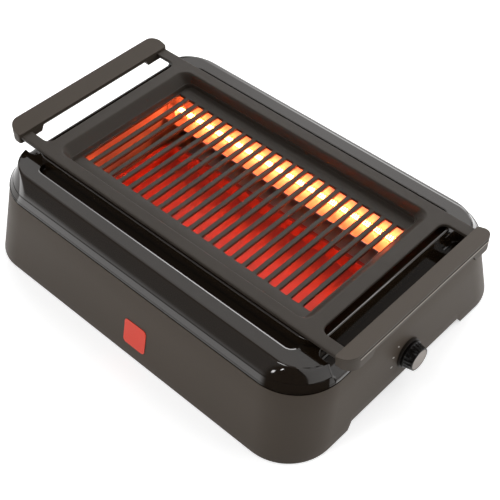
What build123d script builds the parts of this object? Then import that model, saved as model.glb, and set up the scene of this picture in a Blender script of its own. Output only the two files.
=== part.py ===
from build123d import *
import os
from math import atan2, cos, radians, sin

os.makedirs("parts", exist_ok=True)

# All lengths are millimetres. X runs along the long side towards the knob, Y to the back, Z up.
# The origin is the middle of the footprint, on the surface that the grill stands on.

# Gaps, seats and cuts
fit_gap = 0.3
slip_gap = 0.2
running_gap = 0.05
overrun = 5.0

# Lower housing: a rounded rectangle at the floor that draws in to the seam
base_length = 509.4
base_width = 384.2
base_corner = 58.0
side_lean = 7.5
front_lean = 21.1
seam_corner = 61.0
seam_height = 98.0
seam_length = base_length - 2 * side_lean
seam_width = base_width - 2 * front_lean
ground_gap = 1.2
wall = 2.6
arch_width = 206.0
arch_height = 10.0
arch_slope = 5.0
ledge_reach = 14.0
ledge_thick = 3.0

# Top cover: skirt, crease, rounded shoulder and flat deck
groove_depth = 0.8
groove_height = 1.0
skirt_lean_x = 1.8
skirt_lean_y = 6.0
crease_corner = 55.0
crease_height = 108.0
crease_length = seam_length - 2 * skirt_lean_x
crease_width = seam_width - 2 * skirt_lean_y
shoulder_run_x = 5.4
shoulder_run_y = 14.0
deck_corner = 36.0
deck_height = 119.0
deck_length = crease_length - 2 * shoulder_run_x
deck_width = crease_width - 2 * shoulder_run_y
shoulder_angles = (0, 30, 60, 90)
locating_lip_drop = 4.0
locating_lip_thick = 2.0
locating_lip_rise = 3.0

# Opening in the deck with its raised lip, the long troughs and the pockets under the handles
deck_end = 23.6
deck_side = 29.5
lip_length = deck_length - 2 * deck_end
lip_width = deck_width - 2 * deck_side
lip_corner = 24.0
lip_thick = 4.0
trough_inset = 16.4
trough_width = 12.0
trough_depth = 7.0
trough_corner = 10.0
trough_length = lip_length - 2 * trough_inset
pocket_inset = 1.5
pocket_corner = 9.0
pocket_width = lip_width - 2 * pocket_inset

# Pillars that tie the cover to the bottom plate, and bosses for the heat shield
pillar_outset = 1.6
pillar_inset = 14.0
pillar_radius = 5.0
pillar_x = lip_length / 2 + pillar_outset
pillar_y = deck_width / 2 - pillar_inset
boss_inset = 20.0
boss_outset = 7.5
boss_radius = 4.0
boss_x = trough_length / 2 - boss_inset
boss_y = lip_width / 2 + trough_width + boss_outset

# Bottom plate and feet
bottom_low = 12.0
bottom_thick = 2.5
foot_inset_x = 51.7
foot_inset_y = 49.1
foot_x = base_length / 2 - foot_inset_x
foot_y = base_width / 2 - foot_inset_y
foot_post_radius = 12.0
foot_post_low = 1.8
foot_pad_radius = 9.0
foot_pad_height = 3.3
vent_field_length = 370.0
vent_field_width = 125.0
vent_pitch_x = 52.0
vent_pitch_y = 24.0
vent_count_x = int(vent_field_length / vent_pitch_x)
vent_count_y = int(vent_field_width / vent_pitch_y)
vent_length = 36.0
vent_width = 4.0

# Screws
cover_screw_radius = 1.9
cover_screw_depth = 12.0
ledge_screw_radius = 1.5
ledge_screw_x = 120.0
ledge_screw_inset = 8.0
screw_head_radius = 4.0
screw_head_height = 2.5
screw_clearance = 0.3
shield_screw_radius = 1.25
shield_screw_head_radius = 3.0
shield_screw_head_height = 2.0
shield_screw_depth = 6.0

# Grill plate: rim, arms, sunken well and slotted grate
plate_top = 134.0
rim_thick = 4.0
rim_round = 1.0
plate_inset_x = 6.6
plate_inset_y = 2.7
plate_length = lip_length - 2 * plate_inset_x
plate_width = lip_width - 2 * plate_inset_y
arm_width = 15.3
window_corner = 10.0
well_inset_x = 16.8
well_inset_y = 13.8
well_length = plate_length - 2 * well_inset_x
well_width = plate_width - 2 * well_inset_y
well_corner = 13.0
well_shoulder_drop = 6.0
well_shoulder_run_x = 6.0
well_shoulder_run_y = 2.5
well_shoulder_length = well_length - 2 * well_shoulder_run_x
well_shoulder_width = well_width - 2 * well_shoulder_run_y
bead_drop = 12.0
bead_step = 0.9
bead_run_x = 5.0
bead_run_y = 1.2
bead_length = well_shoulder_length - 2 * bead_run_x
bead_width = well_shoulder_width - 2 * bead_run_y
grate_run_x = 1.5
grate_run_y = 0.4
grate_length = bead_length - 2 * (bead_step + grate_run_x)
grate_width = bead_width - 2 * (bead_step + grate_run_y)
grate_drop = 17.0
grate_thick = 4.0
grate_corner = 8.0
well_wall = 3.0
slot_count = 22
slot_width = 10.8
slot_end_bar = 2.0
slot_side_bar = 20.0
slot_pitch = (grate_length - slot_width - 2 * slot_end_bar) / (slot_count - 1)
slot_length = grate_width - 2 * slot_side_bar

# Handles
finger_gap = 33.0
grip_width = 22.2
grip_overhang = 2.2
grip_inner = plate_length / 2 + finger_gap
grip_outer = grip_inner + grip_width
grip_half_length = plate_width / 2 + grip_overhang
grip_drop = 2.0
grip_inner_rise = 3.0
grip_outer_rise = 10.4
grip_bottom = plate_top - grip_drop
grip_inner_top = plate_top + grip_inner_rise
grip_outer_top = plate_top + grip_outer_rise
grip_cap_thick = 2.4
grip_outer_corner = 15.0
grip_inner_corner = 3.0
arm_cover = 11.0
arm_reach = grip_outer - arm_cover
block_drop = 9.5
block_bottom = plate_top - block_drop
block_reach = 33.0
block_slope = 3.5
handle_screw_radius = 1.75
handle_screw_head_radius = 3.3
handle_screw_head_height = 2.0
handle_screw_recess = 1.0
handle_screw_inset = 6.0
handle_screw_x = arm_reach - handle_screw_inset
handle_screw_bite = 1.2

# Heat shield pan with flanges on its long sides
shield_room_x = 3.4
shield_room_y = 2.0
shield_length = lip_length - 2 * (lip_thick + shield_room_x)
shield_width = lip_width - 2 * (lip_thick + shield_room_y)
shield_lift = 3.5
shield_low = bottom_low + bottom_thick + shield_lift
sheet = 1.0
flange_edge = 5.5
flange_length = trough_length
flange_reach = boss_y + flange_edge - shield_width / 2

# Radiant heaters along the front and the back
reflector_radius = 21.0
heater_drop = 37.0
reflector_height = plate_top - grate_drop - grate_thick - heater_drop
reflector_start = -140.0
reflector_sweep = 220.0
tube_radius = 5.5
tube_wall = 1.0
filament_radius = 0.9
end_cap_size = 16.0
end_cap_length = 18.0
end_cap_socket = 10.0
end_cap_proud = 5.0
bracket_size = 30.0

# Drip tray
tray_height = 22.0
tray_wall = 1.2
tray_corner = 10.0
tray_rim = 4.0
tray_room_x = 19.0
tray_room_y = 46.5
tray_length = shield_length - 2 * (sheet + tray_rim + tray_room_x)
tray_width = shield_width - 2 * (sheet + tray_rim + tray_room_y)

# Control: rotary thermostat, its bracket, nut, shaft, knob and dial marks
knob_height = 38.0
thermostat_length = 27.0
thermostat_size = 32.0
thermostat_depth = 8.8
control_bracket_width = 40.0
control_bracket_over = 20.0
control_bracket_foot = 21.0
control_bracket_sheet = 1.2
neck_radius = 5.0
neck_length = 6.0
nut_flats = 13.0
nut_thick = 3.0
shaft_radius = 3.0
shaft_flat = 2.2
shaft_cover = 3.0
wall_hole_radius = 7.0
bezel_radius = 18.5
bezel_bore = 6.0
bezel_rise = 2.1
knob_gap = 0.6
knob_skirt_radius = 17.0
knob_skirt_length = 3.0
knob_grip_radius = 16.0
knob_face_radius = 14.4
knob_length = 13.5
knob_edge = 0.8
knob_hollow_outer = 13.5
knob_hollow_inner = 6.5
knob_hollow_depth = 8.0
flute_count = 20
flute_radius = 1.6
knob_insert_radius = 12.6
knob_insert_thick = 1.0
mark_orbit = 28.8
mark_count = 3
mark_step = 27.0
mark_length = 3.2
mark_width = 1.5
mark_thick = 0.3

# Electrics
fuse_radius = 4.0
fuse_length = 30.0
fuse_y = 40.0
fuse_height = 86.0
terminal_x = 150.0
terminal_inset = 28.4
terminal_length = 40.0
terminal_width = 16.0
terminal_height = 15.5
gland_height = 26.0
gland_radius = 10.0
gland_flange = 3.0
gland_neck_radius = 7.0
gland_bore_radius = 3.8
gland_inside = 4.0
wire_radius = 1.3
wire_bend = 5.0
wire_clear = 8.0
lead_corner_run = 58.0
lead_corner_in = 20.0

# Plain badge on the front wall
badge_x = 14.0
badge_height = 34.0
badge_size = 34.0
badge_corner = 5.0
badge_thick = 0.8

# Heights and places that follow from the sizes above
bottom_top = bottom_low + bottom_thick
ledge_top = bottom_top + ledge_thick
rim_bottom = plate_top - rim_thick
lip_top = rim_bottom - fit_gap
trough_floor = deck_height - trough_depth
pan_bottom = trough_floor - wall
pocket_floor = seam_height + wall
opening_length = lip_length - 2 * lip_thick
opening_width = lip_width - 2 * lip_thick
opening_corner = lip_corner - lip_thick
grate_top = plate_top - grate_drop
grate_bottom = grate_top - grate_thick
window_width = plate_width - 2 * arm_width
front_draft = front_lean / seam_height
side_draft = side_lean / seam_height
knob_skin = base_length / 2 - side_draft * knob_height
thermostat_face = knob_skin - thermostat_depth
control_bracket_top = knob_height + control_bracket_over
bezel_face = knob_skin + bezel_rise
knob_back = bezel_face + knob_gap
knob_face = knob_back + knob_length
shaft_reach = knob_face - knob_insert_thick - shaft_cover
gland_skin_y = base_width / 2 - front_draft * gland_height
gland_inner_y = gland_skin_y - wall - gland_inside
heater_y = shield_width / 2 - sheet - fit_gap - reflector_radius
end_wall_inner = shield_length / 2 - sheet
end_cap_start = shield_length / 2 + end_cap_proud - end_cap_length
tube_half_length = end_cap_start + end_cap_socket - slip_gap
arm_middle = (plate_width - arm_width) / 2
corners = ((-1, -1), (-1, 1), (1, -1), (1, 1))


def housing_outline(height, inset):
    """Length, width and corner of the housing's outer skin at a height, drawn in by an inset."""
    share = height / seam_height
    length = base_length + (seam_length - base_length) * share - 2 * inset
    width = base_width + (seam_width - base_width) * share - 2 * inset
    corner = base_corner + (seam_corner - base_corner) * share - inset
    return length, width, corner


def level(outline, height):
    """A rounded rectangle, given as length, width and corner, drawn at a height."""
    with BuildSketch(Plane.XY.offset(height)) as face:
        RectangleRounded(*outline)
    return face.sketch


def cover_levels(inset):
    """Rounded rectangles from the skirt's foot over the crease and the shoulder to the deck."""
    low = (seam_length - 2 * inset, seam_width - 2 * inset, seam_corner - inset)
    levels = [level(low, seam_height + groove_height)]
    for angle in shoulder_angles:
        across = 1 - cos(radians(angle))
        up = sin(radians(angle))
        length = crease_length + (deck_length - crease_length) * across - 2 * inset
        width = crease_width + (deck_width - crease_width) * across - 2 * inset
        corner = crease_corner + (deck_corner - crease_corner) * across - inset
        height = crease_height + (deck_height - crease_height) * up - inset
        levels.append(level((length, width, corner), height))
    return levels


# Lower housing: one moulded shell, open above and below
inner_low = housing_outline(ground_gap - overrun, wall)
inner_high = housing_outline(seam_height + overrun, wall)
ledge_outer = housing_outline(bottom_top, wall / 2)
ledge_inner = housing_outline(bottom_top, wall + ledge_reach)
ledge_screw_y = housing_outline(bottom_top, wall)[1] / 2 - ledge_screw_inset
ledge_screw_end = housing_outline(bottom_top, wall)[0] / 2 - ledge_screw_inset
ledge_screw_places = [(ledge_screw_x * i, ledge_screw_y * j) for i, j in corners]
ledge_screw_places += [(-ledge_screw_end, 0), (ledge_screw_end, 0)]
terminal_back = housing_outline(bottom_top, wall)[1] / 2 - terminal_inset
terminal_y = terminal_back - terminal_width / 2

with BuildPart() as base_housing:
    loft([level(housing_outline(ground_gap, 0), ground_gap), level(housing_outline(seam_height, 0), seam_height)])
    loft([level(inner_low, ground_gap - overrun), level(inner_high, seam_height + overrun)], mode=Mode.SUBTRACT)
    with BuildSketch(Plane.XY.offset(bottom_top)):
        RectangleRounded(*ledge_outer)
        RectangleRounded(*ledge_inner, mode=Mode.SUBTRACT)
    extrude(amount=ledge_thick)
    # Low arch through both short sides, which leaves a foot at each corner
    with BuildSketch(Plane.YZ):
        with BuildLine():
            Polyline(
                (-arch_width / 2, ground_gap - overrun),
                (-arch_width / 2, ground_gap),
                (-arch_width / 2 + arch_slope, ground_gap + arch_height),
                (arch_width / 2 - arch_slope, ground_gap + arch_height),
                (arch_width / 2, ground_gap),
                (arch_width / 2, ground_gap - overrun),
                close=True,
            )
        make_face()
        fillet(vertices().group_by(Axis.Y)[-1], radius=arch_slope / 2)
    extrude(amount=base_length, both=True, mode=Mode.SUBTRACT)
    # Hole for the control's shaft, and the cord's hole in the back wall
    with BuildSketch(Plane.YZ.offset(thermostat_face)):
        with Locations((0, knob_height)):
            Circle(wall_hole_radius)
    extrude(amount=base_length / 2 - thermostat_face + overrun, mode=Mode.SUBTRACT)
    with BuildSketch(Plane.XZ.offset(-base_width / 2 - overrun)):
        with Locations((terminal_x, gland_height)):
            Circle(gland_neck_radius + slip_gap)
    extrude(amount=base_width / 2 + overrun - gland_inner_y, mode=Mode.SUBTRACT)
    with BuildSketch(Plane.XY.offset(bottom_top)):
        with Locations(*ledge_screw_places):
            Circle(ledge_screw_radius)
    extrude(amount=ledge_thick, mode=Mode.SUBTRACT)
base_housing.part.label = "base_housing"
export_step(base_housing.part, "parts/base_housing.step")

# Bottom plate with corner posts for the feet, vents and screw holes
pillar_places = [(pillar_x * i, pillar_y * j) for i, j in corners]
foot_places = [(foot_x * i, foot_y * j) for i, j in corners]

with BuildPart() as bottom_cover:
    with BuildSketch(Plane.XY.offset(bottom_low)):
        RectangleRounded(*housing_outline(bottom_top, wall + fit_gap))
        with GridLocations(vent_pitch_x, vent_pitch_y, vent_count_x, vent_count_y):
            SlotOverall(vent_length, vent_width, mode=Mode.SUBTRACT)
    extrude(amount=bottom_thick)
    with BuildSketch(Plane.XY.offset(foot_post_low)):
        with Locations(*foot_places):
            Circle(foot_post_radius)
    extrude(amount=bottom_low - foot_post_low)
    with BuildSketch(Plane.XY.offset(foot_post_low)):
        with Locations(*foot_places):
            Circle(foot_pad_radius + slip_gap)
    extrude(amount=foot_pad_height - foot_post_low, mode=Mode.SUBTRACT)
    with BuildSketch(Plane.XY.offset(bottom_low)):
        with Locations(*pillar_places):
            Circle(cover_screw_radius + screw_clearance)
        with Locations(*ledge_screw_places):
            Circle(ledge_screw_radius + screw_clearance)
    extrude(amount=bottom_thick, mode=Mode.SUBTRACT)
bottom_cover.part.label = "bottom_cover"
export_step(bottom_cover.part, "parts/bottom_cover.step")

with BuildPart() as rubber_feet:
    with BuildSketch():
        with Locations(*foot_places):
            Circle(foot_pad_radius)
    extrude(amount=foot_pad_height)
    chamfer(rubber_feet.edges().group_by(Axis.Z)[0], length=slip_gap)
rubber_feet.part.label = "rubber_feet"
export_step(rubber_feet.part, "parts/rubber_feet.step")

# Top cover. Its outer form is lofted once, and cuts the pocket pans to the same skin.
with BuildPart() as cover_form:
    loft(cover_levels(0), ruled=True)
    # Narrow band under the skirt that leaves the dark seam line
    with BuildSketch(Plane.XY.offset(seam_height)):
        RectangleRounded(
            seam_length - 2 * groove_depth, seam_width - 2 * groove_depth, seam_corner - groove_depth
        )
    extrude(amount=groove_height)

boss_places = [(boss_x * i, boss_y * j) for i, j in corners]
boss_places += [(0, -boss_y), (0, boss_y)]
trough_span = lip_width + 2 * trough_width
pocket_reach = base_length - lip_length
pocket_places = ((-(lip_length + pocket_reach) / 2, 0), ((lip_length + pocket_reach) / 2, 0))

with BuildPart() as pocket_pans:
    add(cover_form.part)
    with BuildSketch(Plane.XY.offset(seam_height)):
        with Locations(*pocket_places):
            RectangleRounded(pocket_reach + 2 * lip_thick, pocket_width + 2 * wall, pocket_corner + wall)
    extrude(amount=deck_height - seam_height, mode=Mode.INTERSECT)

with BuildPart() as top_cover:
    add(cover_form.part)
    loft(cover_levels(wall), ruled=True, mode=Mode.SUBTRACT)
    with BuildSketch(Plane.XY.offset(seam_height)):
        RectangleRounded(seam_length - 2 * wall, seam_width - 2 * wall, seam_corner - wall)
    extrude(amount=groove_height, mode=Mode.SUBTRACT)
    # Locating lip inside the housing's top edge, hung from a ring that backs the skirt
    lip_inset = wall + fit_gap
    lip_inside = lip_inset + locating_lip_thick
    with BuildSketch(Plane.XY.offset(seam_height)):
        RectangleRounded(seam_length - wall, seam_width - wall, seam_corner - wall / 2)
        RectangleRounded(
            seam_length - 2 * lip_inside, seam_width - 2 * lip_inside, seam_corner - lip_inside,
            mode=Mode.SUBTRACT,
        )
    extrude(amount=locating_lip_rise)
    with BuildSketch(Plane.XY.offset(seam_height - locating_lip_drop)):
        RectangleRounded(seam_length - 2 * lip_inset, seam_width - 2 * lip_inset, seam_corner - lip_inset)
        RectangleRounded(
            seam_length - 2 * lip_inside, seam_width - 2 * lip_inside, seam_corner - lip_inside,
            mode=Mode.SUBTRACT,
        )
    extrude(amount=locating_lip_drop)
    # Pans of the long troughs, the raised lip's ring, the pocket pans, the bosses and the pillars
    with BuildSketch(Plane.XY.offset(pan_bottom)):
        RectangleRounded(trough_length + 2 * wall, trough_span + 2 * wall, trough_corner + wall)
        with Locations(*boss_places):
            Circle(boss_radius)
    extrude(amount=deck_height - pan_bottom - wall / 2)
    with BuildSketch(Plane.XY.offset(seam_height)):
        RectangleRounded(lip_length, lip_width, lip_corner)
    extrude(amount=lip_top - seam_height)
    add(pocket_pans.part)
    with BuildSketch(Plane.XY.offset(bottom_top)):
        with Locations(*pillar_places):
            Circle(pillar_radius)
    extrude(amount=deck_height - wall / 2 - bottom_top)
    # Troughs, pockets and the opening
    with BuildSketch(Plane.XY.offset(trough_floor)):
        RectangleRounded(trough_length, trough_span, trough_corner)
        RectangleRounded(lip_length, lip_width, lip_corner, mode=Mode.SUBTRACT)
    extrude(amount=lip_top - trough_floor, mode=Mode.SUBTRACT)
    with BuildSketch(Plane.XY.offset(pocket_floor)):
        with Locations(*pocket_places):
            RectangleRounded(pocket_reach, pocket_width, pocket_corner)
    extrude(amount=deck_height - pocket_floor, mode=Mode.SUBTRACT)
    with BuildSketch(Plane.XY.offset(bottom_top)):
        RectangleRounded(opening_length, opening_width, opening_corner)
    extrude(amount=lip_top - bottom_top, mode=Mode.SUBTRACT)
    # Room for the heat shield's flanges under the long sides, then the pilot holes
    with BuildSketch(Plane.XY.offset(seam_height)):
        Rectangle(flange_length + 2 * wall, shield_width + 2 * flange_reach + 2 * wall)
        Rectangle(opening_length, shield_width + 2 * wall)
    extrude(amount=pan_bottom - seam_height, mode=Mode.SUBTRACT)
    with BuildSketch(Plane.XY.offset(pan_bottom)):
        with Locations(*boss_places):
            Circle(shield_screw_radius)
    extrude(amount=shield_screw_depth, mode=Mode.SUBTRACT)
    with BuildSketch(Plane.XY.offset(bottom_top)):
        with Locations(*pillar_places):
            Circle(cover_screw_radius)
    extrude(amount=cover_screw_depth, mode=Mode.SUBTRACT)
    # Seats of the two pocket panels, on top of the locating lip
    with BuildSketch(Plane.XY.offset(seam_height)):
        with Locations(*pocket_places):
            Rectangle(pocket_reach, pocket_width + 2 * wall)
    extrude(amount=wall, mode=Mode.SUBTRACT)
top_cover.part.label = "top_cover"
export_step(top_cover.part, "parts/top_cover.step")

# Flat panels that floor the pockets under the handles and close the skirt's ends
with BuildPart() as right_pocket_panel:
    add(cover_form.part)
    with BuildSketch(Plane.XY.offset(seam_height)):
        with Locations(pocket_places[1]):
            Rectangle(pocket_reach, pocket_width + 2 * wall)
    extrude(amount=wall, mode=Mode.INTERSECT)
right_pocket_panel.part.label = "right_pocket_panel"
export_step(right_pocket_panel.part, "parts/right_pocket_panel.step")

with BuildPart() as left_pocket_panel:
    mirror(right_pocket_panel.part, about=Plane.YZ)
left_pocket_panel.part.label = "left_pocket_panel"
export_step(left_pocket_panel.part, "parts/left_pocket_panel.step")

# Screws from below: four long ones into the cover's pillars, six short ones into the housing's ledge
with BuildPart() as cover_screws:
    with BuildSketch(Plane.XY.offset(bottom_low - screw_head_height)):
        with Locations(*pillar_places):
            Circle(screw_head_radius)
    extrude(amount=screw_head_height)
    with BuildSketch(Plane.XY.offset(bottom_low)):
        with Locations(*pillar_places):
            Circle(cover_screw_radius)
    extrude(amount=bottom_thick + cover_screw_depth)
cover_screws.part.label = "cover_screws"
export_step(cover_screws.part, "parts/cover_screws.step")

with BuildPart() as ledge_screws:
    with BuildSketch(Plane.XY.offset(bottom_low - screw_head_height)):
        with Locations(*ledge_screw_places):
            Circle(screw_head_radius)
    extrude(amount=screw_head_height)
    with BuildSketch(Plane.XY.offset(bottom_low)):
        with Locations(*ledge_screw_places):
            Circle(ledge_screw_radius)
    extrude(amount=bottom_thick + ledge_thick)
ledge_screws.part.label = "ledge_screws"
export_step(ledge_screws.part, "parts/ledge_screws.step")

# Cast grill plate with its arms, well and slots
window_reach = 2 * (arm_reach - plate_length / 2)
window_places = ((-(plate_length + window_reach) / 2, 0), ((plate_length + window_reach) / 2, 0))
handle_screw_places = [(handle_screw_x * i, arm_middle * j) for i, j in corners]

with BuildPart() as grill_plate:
    with BuildSketch(Plane.XY.offset(rim_bottom)):
        Rectangle(2 * arm_reach, plate_width)
        with Locations(*window_places):
            RectangleRounded(window_reach, window_width, window_corner, mode=Mode.SUBTRACT)
    extrude(amount=rim_thick)
    fillet(grill_plate.edges().group_by(Axis.Z)[-1], radius=rim_round)
    loft(
        [
            level((well_length + well_wall, well_width + well_wall, well_corner + well_wall), rim_bottom),
            level(
                (grate_length + 2 * well_wall, grate_width + 2 * well_wall, grate_corner + well_wall),
                grate_bottom,
            ),
        ]
    )
    loft(
        [
            level((well_length, well_width, well_corner), plate_top),
            level((well_shoulder_length, well_shoulder_width, well_corner), plate_top - well_shoulder_drop),
            level((bead_length, bead_width, grate_corner + bead_step), plate_top - bead_drop),
        ],
        ruled=True,
        mode=Mode.SUBTRACT,
    )
    loft(
        [
            level((bead_length - 2 * bead_step, bead_width - 2 * bead_step, grate_corner), plate_top - bead_drop),
            level((grate_length, grate_width, grate_corner), grate_top),
        ],
        mode=Mode.SUBTRACT,
    )
    with BuildSketch(Plane.XY.offset(grate_bottom)):
        with GridLocations(slot_pitch, 0, slot_count, 1):
            Rectangle(slot_width, slot_length)
    extrude(amount=grate_thick, mode=Mode.SUBTRACT)
    with BuildSketch(Plane.XY.offset(rim_bottom)):
        with Locations(*handle_screw_places):
            Circle(handle_screw_radius + screw_clearance)
    extrude(amount=rim_thick, mode=Mode.SUBTRACT)
grill_plate.part.label = "grill_plate"
export_step(grill_plate.part, "parts/grill_plate.step")


# Handles: a lower half with the deep end blocks, and a cap on the sloping joint face
def grip_plan():
    """The grip seen from above, with wide outer corners, for the handle on the right."""
    with BuildSketch() as plan:
        with Locations(((grip_inner + grip_outer) / 2, 0)):
            Rectangle(grip_outer - grip_inner, 2 * grip_half_length)
        fillet(plan.vertices().group_by(Axis.X)[-1], radius=grip_outer_corner)
        fillet(plan.vertices().group_by(Axis.X)[0], radius=grip_inner_corner)
    return plan.sketch


def grip_height(x):
    """Height of the sloping top face at a distance from the middle."""
    share = (x - grip_inner) / (grip_outer - grip_inner)
    return grip_inner_top + (grip_outer_top - grip_inner_top) * share


screw_seat = block_bottom + handle_screw_recess + handle_screw_head_height
screw_tip = grip_height(handle_screw_x) - grip_cap_thick + handle_screw_bite

with BuildPart() as grip_lower:
    with BuildSketch(Plane.XZ):
        with BuildLine():
            Polyline(
                (grip_inner, grip_bottom),
                (grip_outer, grip_bottom),
                (grip_outer, grip_outer_top - grip_cap_thick),
                (grip_inner, grip_inner_top - grip_cap_thick),
                close=True,
            )
        make_face()
    extrude(amount=grip_half_length, both=True)
    with BuildSketch(Plane.YZ.offset(grip_inner)):
        for side in (-1, 1):
            with BuildLine():
                Polyline(
                    (side * (grip_half_length - block_reach - block_slope), grip_bottom),
                    (side * (grip_half_length - block_reach), block_bottom),
                    (side * grip_half_length, block_bottom),
                    (side * grip_half_length, grip_bottom),
                    close=True,
                )
            make_face()
    extrude(amount=grip_outer - grip_inner)
    extrude(grip_plan(), amount=grip_outer_top, mode=Mode.INTERSECT)
    # Slots that hold the plate's arms, and stepped holes for the screws
    with BuildSketch(Plane.XY.offset(rim_bottom)):
        with Locations((0, -arm_middle), (0, arm_middle)):
            Rectangle(2 * (arm_reach + slip_gap), arm_width + 2 * slip_gap)
    extrude(amount=rim_thick, mode=Mode.SUBTRACT)
    with BuildSketch(Plane.XY.offset(block_bottom)):
        with Locations((handle_screw_x, -arm_middle), (handle_screw_x, arm_middle)):
            Circle(handle_screw_head_radius + slip_gap)
    extrude(amount=screw_seat - block_bottom, mode=Mode.SUBTRACT)
    with BuildSketch(Plane.XY.offset(screw_seat)):
        with Locations((handle_screw_x, -arm_middle), (handle_screw_x, arm_middle)):
            Circle(handle_screw_radius + slip_gap)
    extrude(amount=grip_outer_top - screw_seat, mode=Mode.SUBTRACT)

with BuildPart() as grip_upper:
    with BuildSketch(Plane.XZ):
        with BuildLine():
            Polyline(
                (grip_inner, grip_inner_top - grip_cap_thick),
                (grip_outer, grip_outer_top - grip_cap_thick),
                (grip_outer, grip_outer_top),
                (grip_inner, grip_inner_top),
                close=True,
            )
        make_face()
    extrude(amount=grip_half_length, both=True)
    extrude(grip_plan(), amount=grip_outer_top, mode=Mode.INTERSECT)
    with BuildSketch(Plane.XY.offset(block_bottom)):
        with Locations((handle_screw_x, -arm_middle), (handle_screw_x, arm_middle)):
            Circle(handle_screw_radius)
    extrude(amount=screw_tip - block_bottom, mode=Mode.SUBTRACT)

with BuildPart() as right_handle_base:
    add(grip_lower.part)
right_handle_base.part.label = "right_handle_base"
export_step(right_handle_base.part, "parts/right_handle_base.step")

with BuildPart() as right_handle_cap:
    add(grip_upper.part)
right_handle_cap.part.label = "right_handle_cap"
export_step(right_handle_cap.part, "parts/right_handle_cap.step")

with BuildPart() as left_handle_base:
    mirror(grip_lower.part, about=Plane.YZ)
left_handle_base.part.label = "left_handle_base"
export_step(left_handle_base.part, "parts/left_handle_base.step")

with BuildPart() as left_handle_cap:
    mirror(grip_upper.part, about=Plane.YZ)
left_handle_cap.part.label = "left_handle_cap"
export_step(left_handle_cap.part, "parts/left_handle_cap.step")

with BuildPart() as handle_screws:
    with BuildSketch(Plane.XY.offset(screw_seat - handle_screw_head_height)):
        with Locations(*handle_screw_places):
            Circle(handle_screw_head_radius)
    extrude(amount=handle_screw_head_height)
    with BuildSketch(Plane.XY.offset(screw_seat)):
        with Locations(*handle_screw_places):
            Circle(handle_screw_radius)
    extrude(amount=screw_tip - screw_seat)
handle_screws.part.label = "handle_screws"
export_step(handle_screws.part, "parts/handle_screws.step")

# Heat shield: a sheet metal pan that hangs from the cover's bosses by two flanges
cap_window = end_cap_size + 2 * slip_gap
heater_places = [(heater_y * j, reflector_height) for j in (-1, 1)]

with BuildPart() as heat_shield:
    with BuildSketch(Plane.XY.offset(shield_low)):
        Rectangle(shield_length, shield_width)
    extrude(amount=pan_bottom - shield_low)
    with BuildSketch(Plane.XY.offset(pan_bottom - sheet)):
        Rectangle(flange_length, shield_width + 2 * flange_reach)
    extrude(amount=sheet)
    with BuildSketch(Plane.XY.offset(shield_low + sheet)):
        Rectangle(shield_length - 2 * sheet, shield_width - 2 * sheet)
    extrude(amount=pan_bottom - shield_low, mode=Mode.SUBTRACT)
    with BuildSketch(Plane.YZ.offset(-shield_length / 2)):
        with Locations(*heater_places):
            Rectangle(cap_window, cap_window)
    extrude(amount=shield_length, mode=Mode.SUBTRACT)
    with BuildSketch(Plane.XY.offset(pan_bottom - sheet)):
        with Locations(*boss_places):
            Circle(shield_screw_radius + screw_clearance)
    extrude(amount=sheet, mode=Mode.SUBTRACT)
heat_shield.part.label = "heat_shield"
export_step(heat_shield.part, "parts/heat_shield.step")

with BuildPart() as shield_screws:
    with BuildSketch(Plane.XY.offset(pan_bottom - sheet - shield_screw_head_height)):
        with Locations(*boss_places):
            Circle(shield_screw_head_radius)
    extrude(amount=shield_screw_head_height)
    with BuildSketch(Plane.XY.offset(pan_bottom - sheet)):
        with Locations(*boss_places):
            Circle(shield_screw_radius)
    extrude(amount=sheet + shield_screw_depth)
shield_screws.part.label = "shield_screws"
export_step(shield_screws.part, "parts/shield_screws.step")

# Reflector trough of the rear heater: an open ring sector round the tube
reflector_half = end_wall_inner - fit_gap

with BuildPart() as rear_reflector:
    with BuildSketch(Plane.YZ.offset(-reflector_half)):
        with BuildLine():
            outer_arc = CenterArc(
                (heater_y, reflector_height), reflector_radius, reflector_start, reflector_sweep
            )
            inner_arc = CenterArc(
                (heater_y, reflector_height), reflector_radius - sheet, reflector_start, reflector_sweep
            )
            Line(outer_arc @ 0, inner_arc @ 0)
            Line(outer_arc @ 1, inner_arc @ 1)
        make_face()
    extrude(amount=2 * reflector_half)
rear_reflector.part.label = "rear_reflector"
export_step(rear_reflector.part, "parts/rear_reflector.step")

with BuildPart() as front_reflector:
    mirror(rear_reflector.part, about=Plane.XZ)
front_reflector.part.label = "front_reflector"
export_step(front_reflector.part, "parts/front_reflector.step")

with BuildPart() as rear_heating_tube:
    with BuildSketch(Plane.YZ.offset(-tube_half_length)):
        with Locations((heater_y, reflector_height)):
            Circle(tube_radius)
            Circle(tube_radius - tube_wall, mode=Mode.SUBTRACT)
    extrude(amount=2 * tube_half_length)
rear_heating_tube.part.label = "rear_heating_tube"
export_step(rear_heating_tube.part, "parts/rear_heating_tube.step")

with BuildPart() as front_heating_tube:
    mirror(rear_heating_tube.part, about=Plane.XZ)
front_heating_tube.part.label = "front_heating_tube"
export_step(front_heating_tube.part, "parts/front_heating_tube.step")

with BuildPart() as rear_filament:
    with BuildSketch(Plane.YZ.offset(-tube_half_length)):
        with Locations((heater_y, reflector_height)):
            Circle(filament_radius)
    extrude(amount=2 * tube_half_length)
rear_filament.part.label = "rear_filament"
export_step(rear_filament.part, "parts/rear_filament.step")

with BuildPart() as front_filament:
    mirror(rear_filament.part, about=Plane.XZ)
front_filament.part.label = "front_filament"
export_step(front_filament.part, "parts/front_filament.step")

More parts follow.
